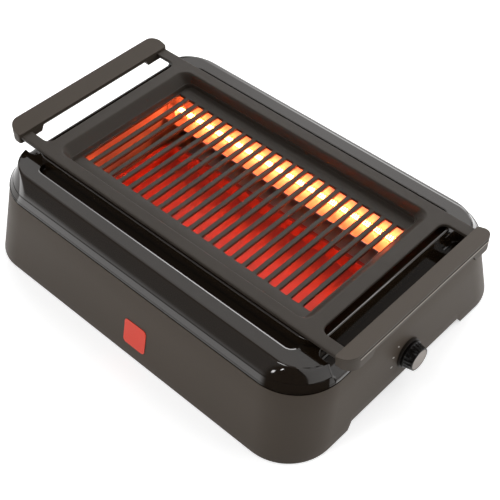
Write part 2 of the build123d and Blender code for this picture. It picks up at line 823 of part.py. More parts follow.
# Ceramic caps on the tube ends, through the shield's end walls, and their retaining plates outside
with BuildPart() as tube_end_caps:
    with BuildSketch(Plane.YZ.offset(end_cap_start)):
        with Locations(*heater_places):
            Rectangle(end_cap_size, end_cap_size)
    extrude(amount=end_cap_length)
    with BuildSketch(Plane.YZ.offset(end_cap_start)):
        with Locations(*heater_places):
            Circle(tube_radius + slip_gap)
    extrude(amount=end_cap_socket, mode=Mode.SUBTRACT)
    mirror(tube_end_caps.part, about=Plane.YZ)
tube_end_caps.part.label = "tube_end_caps"
export_step(tube_end_caps.part, "parts/tube_end_caps.step")

with BuildPart() as tube_brackets:
    with BuildSketch(Plane.YZ.offset(shield_length / 2)):
        with Locations(*heater_places):
            Rectangle(bracket_size, bracket_size)
            Rectangle(cap_window, cap_window, mode=Mode.SUBTRACT)
    extrude(amount=sheet)
    mirror(tube_brackets.part, about=Plane.YZ)
tube_brackets.part.label = "tube_brackets"
export_step(tube_brackets.part, "parts/tube_brackets.step")

# Drip tray that stands on the shield's floor
tray_low = shield_low + sheet + fit_gap

with BuildPart() as drip_tray:
    with BuildSketch(Plane.XY.offset(tray_low)):
        RectangleRounded(tray_length, tray_width, tray_corner)
    extrude(amount=tray_height)
    with BuildSketch(Plane.XY.offset(tray_low + tray_height - tray_wall)):
        RectangleRounded(tray_length + 2 * tray_rim, tray_width + 2 * tray_rim, tray_corner + tray_rim)
    extrude(amount=tray_wall)
    with BuildSketch(Plane.XY.offset(tray_low + tray_wall)):
        RectangleRounded(tray_length - 2 * tray_wall, tray_width - 2 * tray_wall, tray_corner - tray_wall)
    extrude(amount=tray_height, mode=Mode.SUBTRACT)
drip_tray.part.label = "drip_tray"
export_step(drip_tray.part, "parts/drip_tray.step")

# Control on the right side: a thermostat on a bracket, its shaft, nut, bezel and knob
side_skin = Plane(origin=(base_length / 2, 0, 0), x_dir=(0, 1, 0), z_dir=(1, 0, side_draft))

with BuildPart() as thermostat:
    with BuildSketch(Plane.YZ.offset(thermostat_face - thermostat_length)):
        with Locations((0, knob_height)):
            Rectangle(thermostat_size, thermostat_size)
    extrude(amount=thermostat_length)
    with BuildSketch(Plane.YZ.offset(thermostat_face)):
        with Locations((0, knob_height)):
            Circle(neck_radius)
    extrude(amount=neck_length)
    with BuildSketch(Plane.YZ.offset(thermostat_face)):
        with Locations((0, knob_height)):
            Circle(shaft_radius + running_gap)
    extrude(amount=neck_length, mode=Mode.SUBTRACT)
thermostat.part.label = "thermostat"
export_step(thermostat.part, "parts/thermostat.step")

with BuildPart() as control_bracket:
    with BuildSketch(Plane.YZ.offset(thermostat_face)):
        with Locations((0, (ledge_top + control_bracket_top) / 2)):
            Rectangle(control_bracket_width, control_bracket_top - ledge_top)
        with Locations((0, knob_height)):
            Circle(neck_radius + slip_gap, mode=Mode.SUBTRACT)
    extrude(amount=control_bracket_sheet)
    with BuildSketch(Plane.XY.offset(ledge_top)):
        with Locations((thermostat_face - control_bracket_foot / 2, 0)):
            Rectangle(control_bracket_foot, control_bracket_width)
    extrude(amount=control_bracket_sheet)
control_bracket.part.label = "control_bracket"
export_step(control_bracket.part, "parts/control_bracket.step")

with BuildPart() as thermostat_nut:
    with BuildSketch(Plane.YZ.offset(thermostat_face + control_bracket_sheet)):
        with Locations((0, knob_height)):
            RegularPolygon(nut_flats / 2, side_count=6, major_radius=False)
            Circle(neck_radius, mode=Mode.SUBTRACT)
    extrude(amount=nut_thick)
thermostat_nut.part.label = "thermostat_nut"
export_step(thermostat_nut.part, "parts/thermostat_nut.step")

with BuildPart() as control_shaft:
    with BuildSketch(Plane.YZ.offset(thermostat_face + running_gap)):
        with Locations((0, knob_height)):
            Circle(shaft_radius)
        with Locations((0, knob_height + shaft_flat + shaft_radius)):
            Rectangle(2 * shaft_radius, 2 * shaft_radius, mode=Mode.SUBTRACT)
    extrude(amount=shaft_reach - thermostat_face - running_gap)
control_shaft.part.label = "control_shaft"
export_step(control_shaft.part, "parts/control_shaft.step")

with BuildPart() as knob_bezel:
    with BuildSketch(Plane.YZ.offset(thermostat_face)):
        with Locations((0, knob_height)):
            Circle(bezel_radius)
            Circle(bezel_bore, mode=Mode.SUBTRACT)
    extrude(amount=bezel_face - thermostat_face)
    split(bisect_by=side_skin, keep=Keep.TOP)
knob_bezel.part.label = "knob_bezel"
export_step(knob_bezel.part, "parts/knob_bezel.step")

with BuildPart() as control_knob:
    with BuildSketch(Plane.YZ.offset(knob_back)):
        with Locations((0, knob_height)):
            Circle(knob_skirt_radius)
    extrude(amount=knob_skirt_length)
    with BuildSketch(Plane.XZ):
        with BuildLine():
            Polyline(
                (knob_back + knob_skirt_length, knob_height),
                (knob_back + knob_skirt_length, knob_height + knob_grip_radius),
                (knob_face - knob_edge, knob_height + knob_face_radius),
                (knob_face, knob_height + knob_face_radius - knob_edge),
                (knob_face, knob_height),
                close=True,
            )
        make_face()
    revolve(axis=Axis((0, 0, knob_height), (1, 0, 0)))
    with BuildSketch(Plane.YZ.offset(knob_back + knob_skirt_length)):
        with Locations((0, knob_height)):
            with PolarLocations(knob_grip_radius + flute_radius / 2, flute_count):
                Circle(flute_radius)
    extrude(amount=knob_face - knob_back - knob_skirt_length - knob_edge - knob_insert_thick, mode=Mode.SUBTRACT)
    with BuildSketch(Plane.YZ.offset(knob_face - knob_insert_thick)):
        with Locations((0, knob_height)):
            Circle(knob_insert_radius)
    extrude(amount=knob_insert_thick, mode=Mode.SUBTRACT)
    with BuildSketch(Plane.YZ.offset(knob_back)):
        with Locations((0, knob_height)):
            Circle(knob_hollow_outer)
            Circle(knob_hollow_inner, mode=Mode.SUBTRACT)
    extrude(amount=knob_hollow_depth, mode=Mode.SUBTRACT)
    with BuildSketch(Plane.YZ.offset(knob_back)):
        with Locations((0, knob_height)):
            Circle(shaft_radius + running_gap)
        with Locations((0, knob_height + shaft_flat + running_gap + shaft_radius)):
            Rectangle(2 * knob_hollow_inner, 2 * shaft_radius, mode=Mode.SUBTRACT)
    extrude(amount=shaft_reach + running_gap - knob_back, mode=Mode.SUBTRACT)
control_knob.part.label = "control_knob"
export_step(control_knob.part, "parts/control_knob.step")

with BuildPart() as knob_insert:
    with BuildSketch(Plane.YZ.offset(knob_face - knob_insert_thick)):
        with Locations((0, knob_height)):
            Circle(knob_insert_radius - running_gap)
    extrude(amount=knob_insert_thick)
knob_insert.part.label = "knob_insert"
export_step(knob_insert.part, "parts/knob_insert.step")

# Raised dial marks on the sloping side, on an arc to the left of the knob
dial_centre_up = knob_height / cos(atan2(side_draft, 1))

with BuildPart() as dial_marks:
    with BuildSketch(side_skin):
        for index in range(mark_count):
            turn = 180 - index * mark_step
            spot_y = mark_orbit * cos(radians(turn))
            spot_up = dial_centre_up + mark_orbit * sin(radians(turn))
            with Locations((spot_y, spot_up)):
                Rectangle(mark_length, mark_width, rotation=turn)
    extrude(amount=mark_thick)
dial_marks.part.label = "dial_marks"
export_step(dial_marks.part, "parts/dial_marks.step")

# Thermal cut-off on the shield's end wall
with BuildPart() as thermal_fuse:
    with BuildSketch(Plane.XZ.offset(-fuse_y)):
        with Locations((shield_length / 2 + fit_gap + fuse_radius, fuse_height)):
            Circle(fuse_radius)
    extrude(amount=fuse_length / 2, both=True)
thermal_fuse.part.label = "thermal_fuse"
export_step(thermal_fuse.part, "parts/thermal_fuse.step")

# Terminal block on the bottom plate, and the cord's gland in the back wall
with BuildPart() as terminal_block:
    with BuildSketch(Plane.XY.offset(bottom_top)):
        with Locations((terminal_x, terminal_y)):
            Rectangle(terminal_length, terminal_width)
    extrude(amount=terminal_height)
terminal_block.part.label = "terminal_block"
export_step(terminal_block.part, "parts/terminal_block.step")

back_skin = Plane(origin=(0, base_width / 2, 0), x_dir=(1, 0, 0), z_dir=(0, 1, front_draft))

with BuildPart() as gland_flange_ring:
    with BuildSketch(Plane.XZ.offset(-gland_inner_y)):
        with Locations((terminal_x, gland_height)):
            Circle(gland_radius)
    extrude(amount=-(gland_skin_y + gland_flange - gland_inner_y))
    split(bisect_by=back_skin, keep=Keep.TOP)

with BuildPart() as cord_gland:
    with BuildSketch(Plane.XZ.offset(-gland_inner_y)):
        with Locations((terminal_x, gland_height)):
            Circle(gland_neck_radius)
    extrude(amount=-(gland_skin_y + gland_flange - gland_inner_y))
    add(gland_flange_ring.part)
    with BuildSketch(Plane.XZ.offset(-gland_inner_y)):
        with Locations((terminal_x, gland_height)):
            Circle(gland_bore_radius)
    extrude(amount=-(gland_skin_y + gland_flange - gland_inner_y), mode=Mode.SUBTRACT)
cord_gland.part.label = "cord_gland"
export_step(cord_gland.part, "parts/cord_gland.step")

# Internal leads, each a round wire on straight runs with rounded bends
cap_end = end_cap_start + end_cap_length
lead_x = cap_end + wire_clear
thermostat_middle = thermostat_face - thermostat_length / 2
lead_low = knob_height - thermostat_size / 4
lead_high = knob_height + thermostat_size / 4
terminal_middle = bottom_top + terminal_height / 2
thermostat_side = thermostat_size / 2
terminal_end = terminal_x + terminal_length / 2
lead_corner_x = terminal_x + lead_corner_run
lead_corner_y = terminal_y - lead_corner_in
lead_routes = [
    (
        (cap_end, side * heater_y, reflector_height),
        (lead_x, side * heater_y, reflector_height),
        (lead_x, side * (heater_y - wire_clear), lead_low + wire_clear),
        (thermostat_middle, side * (thermostat_side + 2 * wire_clear), lead_low),
        (thermostat_middle, side * thermostat_side, lead_low),
    )
    for side in (-1, 1)
]
lead_routes.append(
    (
        (-cap_end, -heater_y, reflector_height),
        (-lead_x, -heater_y, reflector_height),
        (-lead_x, 0, reflector_height - 2 * wire_clear),
        (-lead_x, heater_y, reflector_height),
        (-cap_end, heater_y, reflector_height),
    )
)
lead_routes.append(
    (
        (thermostat_middle, thermostat_side, lead_high),
        (thermostat_middle, heater_y, lead_high),
        (lead_corner_x, lead_corner_y, terminal_middle + wire_clear),
        (terminal_end + 2 * wire_clear, terminal_y, terminal_middle),
        (terminal_end, terminal_y, terminal_middle),
    )
)

with BuildPart() as internal_wiring:
    for route in lead_routes:
        with BuildLine() as run:
            FilletPolyline(*route, radius=wire_bend)
        with BuildSketch(Plane(origin=run.line @ 0, z_dir=run.line % 0)):
            Circle(wire_radius)
        sweep(path=run.line)
    with BuildSketch(Plane.XZ.offset(-terminal_back)):
        with Locations((terminal_x, gland_height)):
            Circle(wire_radius)
    extrude(amount=-(gland_inner_y - terminal_back))
internal_wiring.part.label = "internal_wiring"
export_step(internal_wiring.part, "parts/internal_wiring.step")

# Plain red badge, flat on the sloping front wall
front_tilt = atan2(front_draft, 1)
badge_spot = (badge_x, -(base_width / 2 - front_draft * badge_height), badge_height)
badge_plane = Plane(origin=badge_spot, x_dir=(1, 0, 0), z_dir=(0, -cos(front_tilt), sin(front_tilt)))

with BuildPart() as badge:
    with BuildSketch(badge_plane):
        RectangleRounded(badge_size, badge_size, badge_corner)
    extrude(amount=badge_thick)
badge.part.label = "badge"
export_step(badge.part, "parts/badge.step")
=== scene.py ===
import bmesh
import bpy
import numpy as np
from math import cos, pi, radians, sin
from mathutils import Matrix, Vector
from mathutils.geometry import tessellate_polygon


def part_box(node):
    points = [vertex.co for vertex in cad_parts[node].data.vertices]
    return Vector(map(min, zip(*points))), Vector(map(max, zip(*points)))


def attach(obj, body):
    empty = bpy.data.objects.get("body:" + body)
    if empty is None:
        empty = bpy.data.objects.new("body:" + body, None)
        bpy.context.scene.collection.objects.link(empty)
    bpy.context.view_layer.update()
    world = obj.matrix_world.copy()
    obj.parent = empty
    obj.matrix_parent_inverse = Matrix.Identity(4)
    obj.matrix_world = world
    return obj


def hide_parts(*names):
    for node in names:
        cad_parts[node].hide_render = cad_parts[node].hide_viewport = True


# Countertop grill. Shapes are worked out in millimetres in the CAD frame and written in metres.
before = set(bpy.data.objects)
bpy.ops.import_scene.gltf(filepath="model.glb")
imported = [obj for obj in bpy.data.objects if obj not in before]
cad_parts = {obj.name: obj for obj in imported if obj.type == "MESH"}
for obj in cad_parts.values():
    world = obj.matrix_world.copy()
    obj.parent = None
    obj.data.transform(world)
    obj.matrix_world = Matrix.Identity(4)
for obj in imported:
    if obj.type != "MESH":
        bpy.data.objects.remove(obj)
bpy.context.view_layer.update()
mm = 0.001
joinGap = 2e-6  # points nearer than this many metres are one point
sliver = 1e-7  # shorter edges are dropped
flatTurn = 0.6  # degrees between faces that are taken as one
leastRadius = 0.01  # a rounded path's corners keep at least this
slack = 0.01  # places that differ by less than this many millimetres are one
tiny = 1e-9  # keeps a division clear of zero
sharpTurn = 32  # degrees between faces from which their edge is sharp


# A CAD node's box, in millimetres
def corners(node):
    low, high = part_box(node)
    return np.array(low) / mm, np.array(high) / mm


# The angles of a quarter turn
def turns(count):
    return np.linspace(0, pi / 2, count + 1)


# A path with rounded corners: each corner is moved by the offset to the right of travel,
# and its arc starts and ends at radius * tan(turn / 2) from it. Open paths keep their two ends.
def roundedPath(points, radii, offset=0.0, closed=True, steps=8):
    p = np.asarray(points, float)
    radii = np.broadcast_to(np.asarray(radii, float), len(p)).copy()
    ahead = np.roll(p, -1, 0) - p
    ahead /= np.linalg.norm(ahead, axis=1, keepdims=True)
    behind = np.roll(ahead, 1, 0)
    if not closed:
        behind[0], ahead[-1] = ahead[0], behind[-1]
    rightAhead = np.stack([ahead[:, 1], -ahead[:, 0]], 1)
    rightBehind = np.stack([behind[:, 1], -behind[:, 0]], 1)
    shared = 1 + (rightAhead * rightBehind).sum(1, keepdims=True)
    p = p + offset * (rightAhead + rightBehind) / shared
    turn = np.arctan2(behind[:, 0] * ahead[:, 1] - behind[:, 1] * ahead[:, 0], (behind * ahead).sum(1))
    radii = np.maximum(radii + offset * np.sign(turn), leastRadius)
    first = p - behind * (radii * np.tan(np.abs(turn) / 2))[:, None]
    centre = first - rightBehind * (radii * np.sign(turn))[:, None]
    angle = turn[:, None] * np.linspace(0, 1, steps + 1)
    arm = (first - centre)[:, None, :]
    c, s = np.cos(angle), np.sin(angle)
    arcs = np.stack([arm[..., 0] * c - arm[..., 1] * s, arm[..., 0] * s + arm[..., 1] * c], -1)
    arcs = centre[:, None, :] + arcs
    if closed:
        return arcs.reshape(-1, 2)
    return np.concatenate([p[:1], arcs[1:-1].reshape(-1, 2), p[-1:]])


# A rounded rectangle per row of sizes, counterclockwise from the right end: each quarter is a corner's
# centre, half size less radius from the middle, plus its radius along the cosine and sine
def roundedRings(halfX, halfY, corner, z, steps=12):
    sizes = np.broadcast_arrays(halfX, halfY, corner, z)
    halfX, halfY, corner, z = (np.asarray(v, float)[:, None] for v in sizes)
    quarter = turns(steps)[None, :]
    x = np.concatenate([np.cos(quarter), -np.sin(quarter), -np.cos(quarter), np.sin(quarter)], 1)
    y = np.concatenate([np.sin(quarter), np.cos(quarter), -np.sin(quarter), -np.cos(quarter)], 1)
    signX = np.repeat([1, -1, -1, 1], steps + 1)[None, :]
    signY = np.repeat([1, 1, -1, -1], steps + 1)[None, :]
    x = signX * (halfX - corner) + corner * x
    y = signY * (halfY - corner) + corner * y
    return np.stack([x, y, z + 0 * x], -1)


# A flat path lifted to a height
def rise(path, z):
    return np.column_stack([path, np.full(len(path), float(z))])


# A profile of (offset, height) pairs carried along a rounded path
def carried(points, radii, profile, closed=True, steps=8):
    return np.stack([rise(roundedPath(points, radii, o, closed, steps), z) for o, z in profile])


# Faces between the neighbours in a table of point numbers
def quads(index):
    return np.stack([index[:-1, :-1], index[:-1, 1:], index[1:, 1:], index[1:, :-1]], -1).reshape(-1, 4)


# Collects sheets of points and writes them as one object of closed slabs
class Solid:
    def __init__(self):
        self.points, self.faces, self.total = [], [], 0

    def add(self, points, faces):
        points = np.asarray(points, float).reshape(-1, 3)
        self.points.append(points)
        self.faces += (np.asarray(faces) + self.total).tolist()
        self.total += len(points)

    # A sheet whose rows are rings, and whose last row meets its first if asked
    def grid(self, sheet, wrapRows=False):
        rows, cols = sheet.shape[:2]
        index = np.arange(rows * cols).reshape(rows, cols)
        if wrapRows:
            index = np.vstack([index, index[:1]])
        self.add(sheet, quads(np.hstack([index, index[:, :1]])))

    # An open sheet given a thickness along its normal, the cross product of its two directions
    def slab(self, sheet, depth):
        along = np.gradient(sheet, axis=1)
        up = np.gradient(sheet, axis=0)
        normal = np.cross(along, up)
        normal /= np.maximum(np.linalg.norm(normal, axis=-1, keepdims=True), tiny)
        both = np.concatenate([sheet, (sheet + depth * normal)[::-1]])
        rows, cols = both.shape[:2]
        index = np.arange(rows * cols).reshape(rows, cols)
        skin = quads(np.vstack([index, index[:1]]))
        k = np.arange(rows // 2 - 1)
        ends = [
            np.stack([index[k, c], index[k + 1, c], index[rows - 2 - k, c], index[rows - 1 - k, c]], 1)
            for c in (0, -1)
        ]
        self.add(both, np.concatenate([skin] + ends))

    # A flat face at a height, with holes where there are more loops, and a thickness if asked
    def fill(self, loops, z, depth=0.0):
        flat = np.concatenate(loops)
        triangles = np.array(tessellate_polygon([[Vector((x, y, 0)) for x, y in loop] for loop in loops]))
        if not depth:
            self.add(rise(flat, z), triangles)
            return
        n = len(flat)
        both = np.concatenate([rise(flat, z), rise(flat, z - depth)])
        self.add(both, np.concatenate([triangles, triangles[:, ::-1] + n]))
        start = self.total - 2 * n
        for loop in loops:
            k = np.arange(len(loop)) + start
            after = np.roll(k, -1)
            self.faces += np.stack([k, after, after + n, k + n], 1).tolist()
            start += len(loop)

    def make(self, name, body, material, replaced=(), weld=False, sharp=sharpTurn):
        mesh = bpy.data.meshes.new(name)
        mesh.from_pydata((np.concatenate(self.points) * mm).tolist(), [], self.faces)
        work = bmesh.new()
        work.from_mesh(mesh)
        if weld:
            bmesh.ops.remove_doubles(work, verts=work.verts, dist=joinGap)
        bmesh.ops.dissolve_degenerate(work, dist=sliver, edges=work.edges)
        bmesh.ops.recalc_face_normals(work, faces=work.faces)
        work.to_mesh(mesh)
        work.free()
        settle(name, mesh, body, material, replaced, sharp)


# One visible piece: its smooth faces, finish, body and the CAD nodes that it stands for
def settle(name, mesh, body, material, replaced, sharp):
    mesh.shade_smooth()
    mesh.set_sharp_from_angle(angle=radians(sharp))
    piece = bpy.data.objects.new(name, mesh)
    bpy.context.scene.collection.objects.link(piece)
    mesh.materials.append(material)
    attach(piece, body)
    if replaced:
        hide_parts(*replaced)
    return piece


# A CAD node's own solid with its loose triangles joined, its flat faces whole and its edges eased
def eased(node, body, material, ease=0.4, segments=2):
    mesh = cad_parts[node].data.copy()
    mesh.materials.clear()
    work = bmesh.new()
    work.from_mesh(mesh)
    bmesh.ops.remove_doubles(work, verts=work.verts, dist=joinGap)
    bmesh.ops.dissolve_limit(work, angle_limit=radians(flatTurn), verts=work.verts, edges=work.edges)
    work.to_mesh(mesh)
    work.free()
    piece = settle(node + ".eased", mesh, body, material, (node,), sharpTurn)
    if ease:
        bevel = piece.modifiers.new("ease", "BEVEL")
        bevel.width = ease * mm
        bevel.segments = segments
        bevel.limit_method = "ANGLE"
        bevel.angle_limit = radians(sharpTurn)
        bevel.harden_normals = True


# A shader socket that can stand in sums
class Value:
    def __init__(self, shade, socket):
        self.shade, self.socket = shade, socket

    def maths(self, operation, *terms):
        return self.shade.node("ShaderNodeMath", {"operation": operation}, dict(enumerate(terms)))

    def __add__(self, other):
        return self.maths("ADD", self, other)

    def __sub__(self, other):
        return self.maths("SUBTRACT", self, other)

    def __rsub__(self, other):
        return self.maths("SUBTRACT", other, self)

    def __mul__(self, other):
        return self.maths("MULTIPLY", self, other)

    __radd__, __rmul__ = __add__, __mul__

    def __neg__(self):
        return self.maths("MULTIPLY", self, -1.0)

    def __truediv__(self, other):
        return self.maths("DIVIDE", self, other)

    def over(self, low, high):  # 0 below low, 1 above high, smooth between
        values = {"Value": self, "From Min": low, "From Max": high}
        return self.shade.node("ShaderNodeMapRange", {"interpolation_type": "SMOOTHSTEP"}, values)


# A node tree with one method for every node
class Shade:
    def __init__(self, tree):
        self.tree = tree
        tree.nodes.clear()

    def node(self, kind, settings, values, output=0):
        made = self.tree.nodes.new(kind)
        for name, setting in settings.items():
            setattr(made, name, setting)
        for name, value in values.items():
            if isinstance(value, Value):
                self.tree.links.new(value.socket, made.inputs[name])
            else:
                made.inputs[name].default_value = value
        return Value(self, made.outputs[output]) if len(made.outputs) else None

    def noise(self, where, scale, detail=3.0, rough=0.5):  # its values lie round 0.5
        values = {"Vector": where, "Scale": scale, "Detail": detail, "Roughness": rough}
        return self.node("ShaderNodeTexNoise", {}, values)

    def blend(self, factor, first, second):
        return self.node("ShaderNodeMix", {"data_type": "RGBA"}, {0: factor, 6: first, 7: second}, 2)

    def bump(self, height, strength, distance):
        values = {"Height": height, "Strength": strength, "Distance": distance * mm}
        return self.node("ShaderNodeBump", {}, values)


# Screen levels of 0 to 255 as the linear colour that shaders want, by the sRGB curve
def paint(red, green, blue):
    levels = np.array([red, green, blue]) / 255
    linear = np.where(levels <= 0.04045, levels / 12.92, ((levels + 0.055) / 1.055) ** 2.4)
    return (*(float(v) for v in linear), 1.0)


# The same colour, lighter or darker
def toned(colour, share):
    return (*(min(1.0, c * share) for c in colour[:3]), 1.0)


# A material whose one surface takes its values from build
def finish(name, build):
    material = bpy.data.materials.new(name)
    material.use_nodes = True
    shade = Shade(material.node_tree)
    where = shade.node("ShaderNodeTexCoord", {}, {}, "Object")
    surface = shade.node("ShaderNodeBsdfPrincipled", {}, build(shade, where))
    shade.node("ShaderNodeOutputMaterial", {}, {"Surface": surface})
    return material


# Moulded plastic: fine spark-eroded grain, faint broad mottling
plastic = {
    "fineScale": 1400, "fineRough": 0.6, "broadScale": 14, "pale": 1.10, "deep": 0.90,
    "broadShare": 0.7, "fineShare": 0.3, "fineToRough": 0.10, "broadToRough": 0.06, "grainDepth": 0.12,
}


def mouldedPlastic(name, colour, rough=0.5, grain=0.35, specular=0.5):
    def build(shade, where):
        p = plastic
        fine = shade.noise(where, p["fineScale"], detail=2.0, rough=p["fineRough"])
        broad = shade.noise(where, p["broadScale"])
        mix = broad * p["broadShare"] + fine * p["fineShare"]
        return {
            "Base Color": shade.blend(mix, toned(colour, p["deep"]), toned(colour, p["pale"])),
            "Roughness": rough + p["fineToRough"] * (fine - 0.5) + p["broadToRough"] * (broad - 0.5),
            "Specular IOR Level": specular,
            "Normal": shade.bump(fine, grain, p["grainDepth"]),
        }
    return finish(name, build)


# Deep clear gloss with a trace of waviness and wiping marks
lacquer = {
    "rough": 0.04, "waveScale": 22, "wipeScale": 60, "wipeRough": 0.65, "pale": 1.25,
    "wipeToRough": 0.05, "wipeEdge": (0.45, 0.8), "waveStrength": 0.06, "waveDepth": 0.4,
}


def glossLacquer(name, colour):
    def build(shade, where):
        g = lacquer
        wave = shade.noise(where, g["waveScale"], detail=2.0)
        wipes = shade.noise(where, g["wipeScale"], detail=4.0, rough=g["wipeRough"])
        return {
            "Base Color": shade.blend(wave, colour, toned(colour, g["pale"])),
            "Roughness": g["rough"] + g["wipeToRough"] * wipes.over(*g["wipeEdge"]),
            "Normal": shade.bump(wave, g["waveStrength"], g["waveDepth"]),
        }
    return finish(name, build)


# Sprayed non-stick coating on a casting: speckled, softly uneven, with small pinholes
coating = {
    "speckScale": 1700, "speckRough": 0.7, "castScale": 160, "castRough": 0.6, "broadScale": 9,
    "flakeEdge": (0.68, 0.8), "flakeShare": 0.3, "flakeColour": paint(112, 104, 96),
    "pale": 1.12, "deep": 0.86, "speckShare": 0.5,
    "castToRough": 0.16, "speckToRough": 0.05, "specular": 0.25, "bumpStrength": 0.30, "bumpDepth": 0.10,
}


def coatedCasting(name, colour, rough):
    def build(shade, where):
        c = coating
        speck = shade.noise(where, c["speckScale"], detail=2.0, rough=c["speckRough"])
        cast = shade.noise(where, c["castScale"], detail=4.0, rough=c["castRough"])
        broad = shade.noise(where, c["broadScale"])
        flake = speck.over(*c["flakeEdge"])
        body = shade.blend(broad, toned(colour, c["deep"]), toned(colour, c["pale"]))
        return {
            "Base Color": shade.blend(flake * c["flakeShare"], body, c["flakeColour"]),
            "Roughness": rough + c["castToRough"] * (cast - 0.5) + c["speckToRough"] * (speck - 0.5),
            "Specular IOR Level": c["specular"],
            "Normal": shade.bump(speck * c["speckShare"] + cast, c["bumpStrength"], c["bumpDepth"]),
        }
    return finish(name, build)


# Rolled or drawn metal, its grain stretched along one axis
rolled = {
    "grainScale": 40, "grainRough": 0.6, "stainScale": 18, "deep": 0.8,
    "grainToRough": 0.12, "stainToRough": 0.08, "bumpStrength": 0.12, "bumpDepth": 0.05,
}


def rolledMetal(name, colour, rough, along=(1.0, 40.0, 40.0)):
    def build(shade, where):
        r = rolled
        stretch = {"Vector": where, "Scale": along}
        stretched = shade.node("ShaderNodeMapping", {"vector_type": "POINT"}, stretch)
        grain = shade.noise(stretched, r["grainScale"], detail=3.0, rough=r["grainRough"])
        stain = shade.noise(where, r["stainScale"], detail=4.0)
        return {
            "Base Color": shade.blend(stain, toned(colour, r["deep"]), colour),
            "Metallic": 1.0,
            "Roughness": rough + r["grainToRough"] * (grain - 0.5) + r["stainToRough"] * (stain - 0.5),
            "Normal": shade.bump(grain, r["bumpStrength"], r["bumpDepth"]),
        }
    return finish(name, build)


# A hot wire, its colour rippling a little along its length
wireGlow = {
    "surface": paint(60, 30, 20), "rough": 0.6, "colour": (1.0, 0.125, 0.03, 1.0), "deep": 0.85,
    "rippleScale": 60, "strength": 180.0,
}


def buildGlow(shade, where):
    w = wireGlow
    ripple = shade.noise(where, w["rippleScale"], detail=2.0)
    return {
        "Base Color": w["surface"],
        "Roughness": w["rough"],
        "Emission Color": shade.blend(ripple, w["colour"], toned(w["colour"], w["deep"])),
        "Emission Strength": w["strength"],
    }


# Clear glass with fine bubbles, thin enough for the wire's glow to pass
glass = {
    "colour": paint(250, 200, 170), "rough": 0.05, "alpha": 0.22, "bubbleScale": 120, "bubbleShare": 0.05,
    "coat": 0.5, "coatRough": 0.02,
}


def buildGlass(shade, where):
    bubbles = glass["bubbleShare"] * shade.noise(where, glass["bubbleScale"], detail=2.0)
    return {
        "Base Color": glass["colour"],
        "Roughness": glass["rough"] + bubbles,
        "Alpha": glass["alpha"] + bubbles,
        "Coat Weight": glass["coat"],
        "Coat Roughness": glass["coatRough"],
    }


housingPlastic = mouldedPlastic("housingPlastic", paint(78, 69, 60), rough=0.5, grain=0.35, specular=0.2)
gripPlastic = mouldedPlastic("gripPlastic", paint(74, 66, 58), rough=0.5, grain=0.25, specular=0.2)
bezelPlastic = mouldedPlastic("bezelPlastic", paint(44, 38, 33), rough=0.45, grain=0.15, specular=0.2)
# Painted shadow: near black and without gloss, for the strip that stands for the shade in the grips' parting
# groove
seamShadow = mouldedPlastic("seamShadow", paint(30, 26, 23), rough=0.6, grain=0.1, specular=0.0)
# Partly painted highlight: the bead is real and its low roughness catches the lamps, but its colour is
# painted far lighter than the grip's to stand for the edge's highlight
beadPaintedHighlight = mouldedPlastic("beadPaintedHighlight", paint(150, 140, 130), rough=0.35, grain=0.1)
undersidePlastic = mouldedPlastic("undersidePlastic", paint(52, 49, 47), rough=0.55)
coverLacquer = glossLacquer("coverLacquer", paint(30, 22, 14))
knobPlastic = mouldedPlastic("knobPlastic", paint(20, 17, 15), rough=0.22, grain=0.05, specular=0.2)
plateCoating = coatedCasting("plateCoating", paint(52, 45, 38), rough=0.5)
# Partly painted light: the tray is given a strong red with little green or blue, which stands in for the
# heaters' red glow on it where neutral light comes through the slots; the coils' own glow lights it too
trayEnamelAndGlowTint = coatedCasting("trayEnamelAndGlowTint", paint(150, 66, 56), rough=0.35)
shieldSheet = rolledMetal("shieldSheet", paint(190, 190, 188), rough=0.6)
reflectorSheet = rolledMetal("reflectorSheet", paint(225, 224, 220), rough=0.42)
zincSteel = rolledMetal("zincSteel", paint(170, 171, 172), rough=0.34, along=(8.0, 8.0, 8.0))
satinDisc = rolledMetal("satinDisc", paint(150, 142, 136), rough=0.42, along=(1.0, 30.0, 30.0))
ceramicBody = mouldedPlastic("ceramicBody", paint(226, 220, 205), rough=0.7)
nylonBody = mouldedPlastic("nylonBody", paint(228, 225, 214), rough=0.45)
phenolicBody = mouldedPlastic("phenolicBody", paint(46, 43, 42), rough=0.4)
footRubber = mouldedPlastic("footRubber", paint(38, 37, 37), rough=0.8, grain=0.5)
dialPaint = mouldedPlastic("dialPaint", paint(205, 201, 196), rough=0.45)
badgePaint = mouldedPlastic("badgePaint", paint(252, 62, 32), rough=0.4, grain=0.12)
sleeveWeave = mouldedPlastic("sleeveWeave", paint(222, 216, 200), rough=0.8, grain=0.8)
quartzGlass = finish("quartzGlass", buildGlass)
hotWire = finish("hotWire", buildGlow)
print("finishes made")

# The seam, which the housing and the cover share
seamSizes = {"seamHalf": (247.6, 172.1), "seamCorner": 60.8, "seamHeight": 93.0}

# Lower housing: a closed shell of rings, low arches in both short sides
housing = {
    **seamSizes, "baseHalf": (254.7, 192.1), "baseCorner": 58.0,
    "floorGap": 1.2, "wall": 2.6, "edge": 0.7, "topEdge": 0.5,
    "wallRows": (0.15, 0.4, 0.7),  # shares of the wall's height
    "archHalf": 103.0, "archHeight": 10.0, "archSlope": 5.0,
    "cornerSteps": 20, "archMargin": 1.0, "bendColumns": 9, "flatColumns": 5,
}


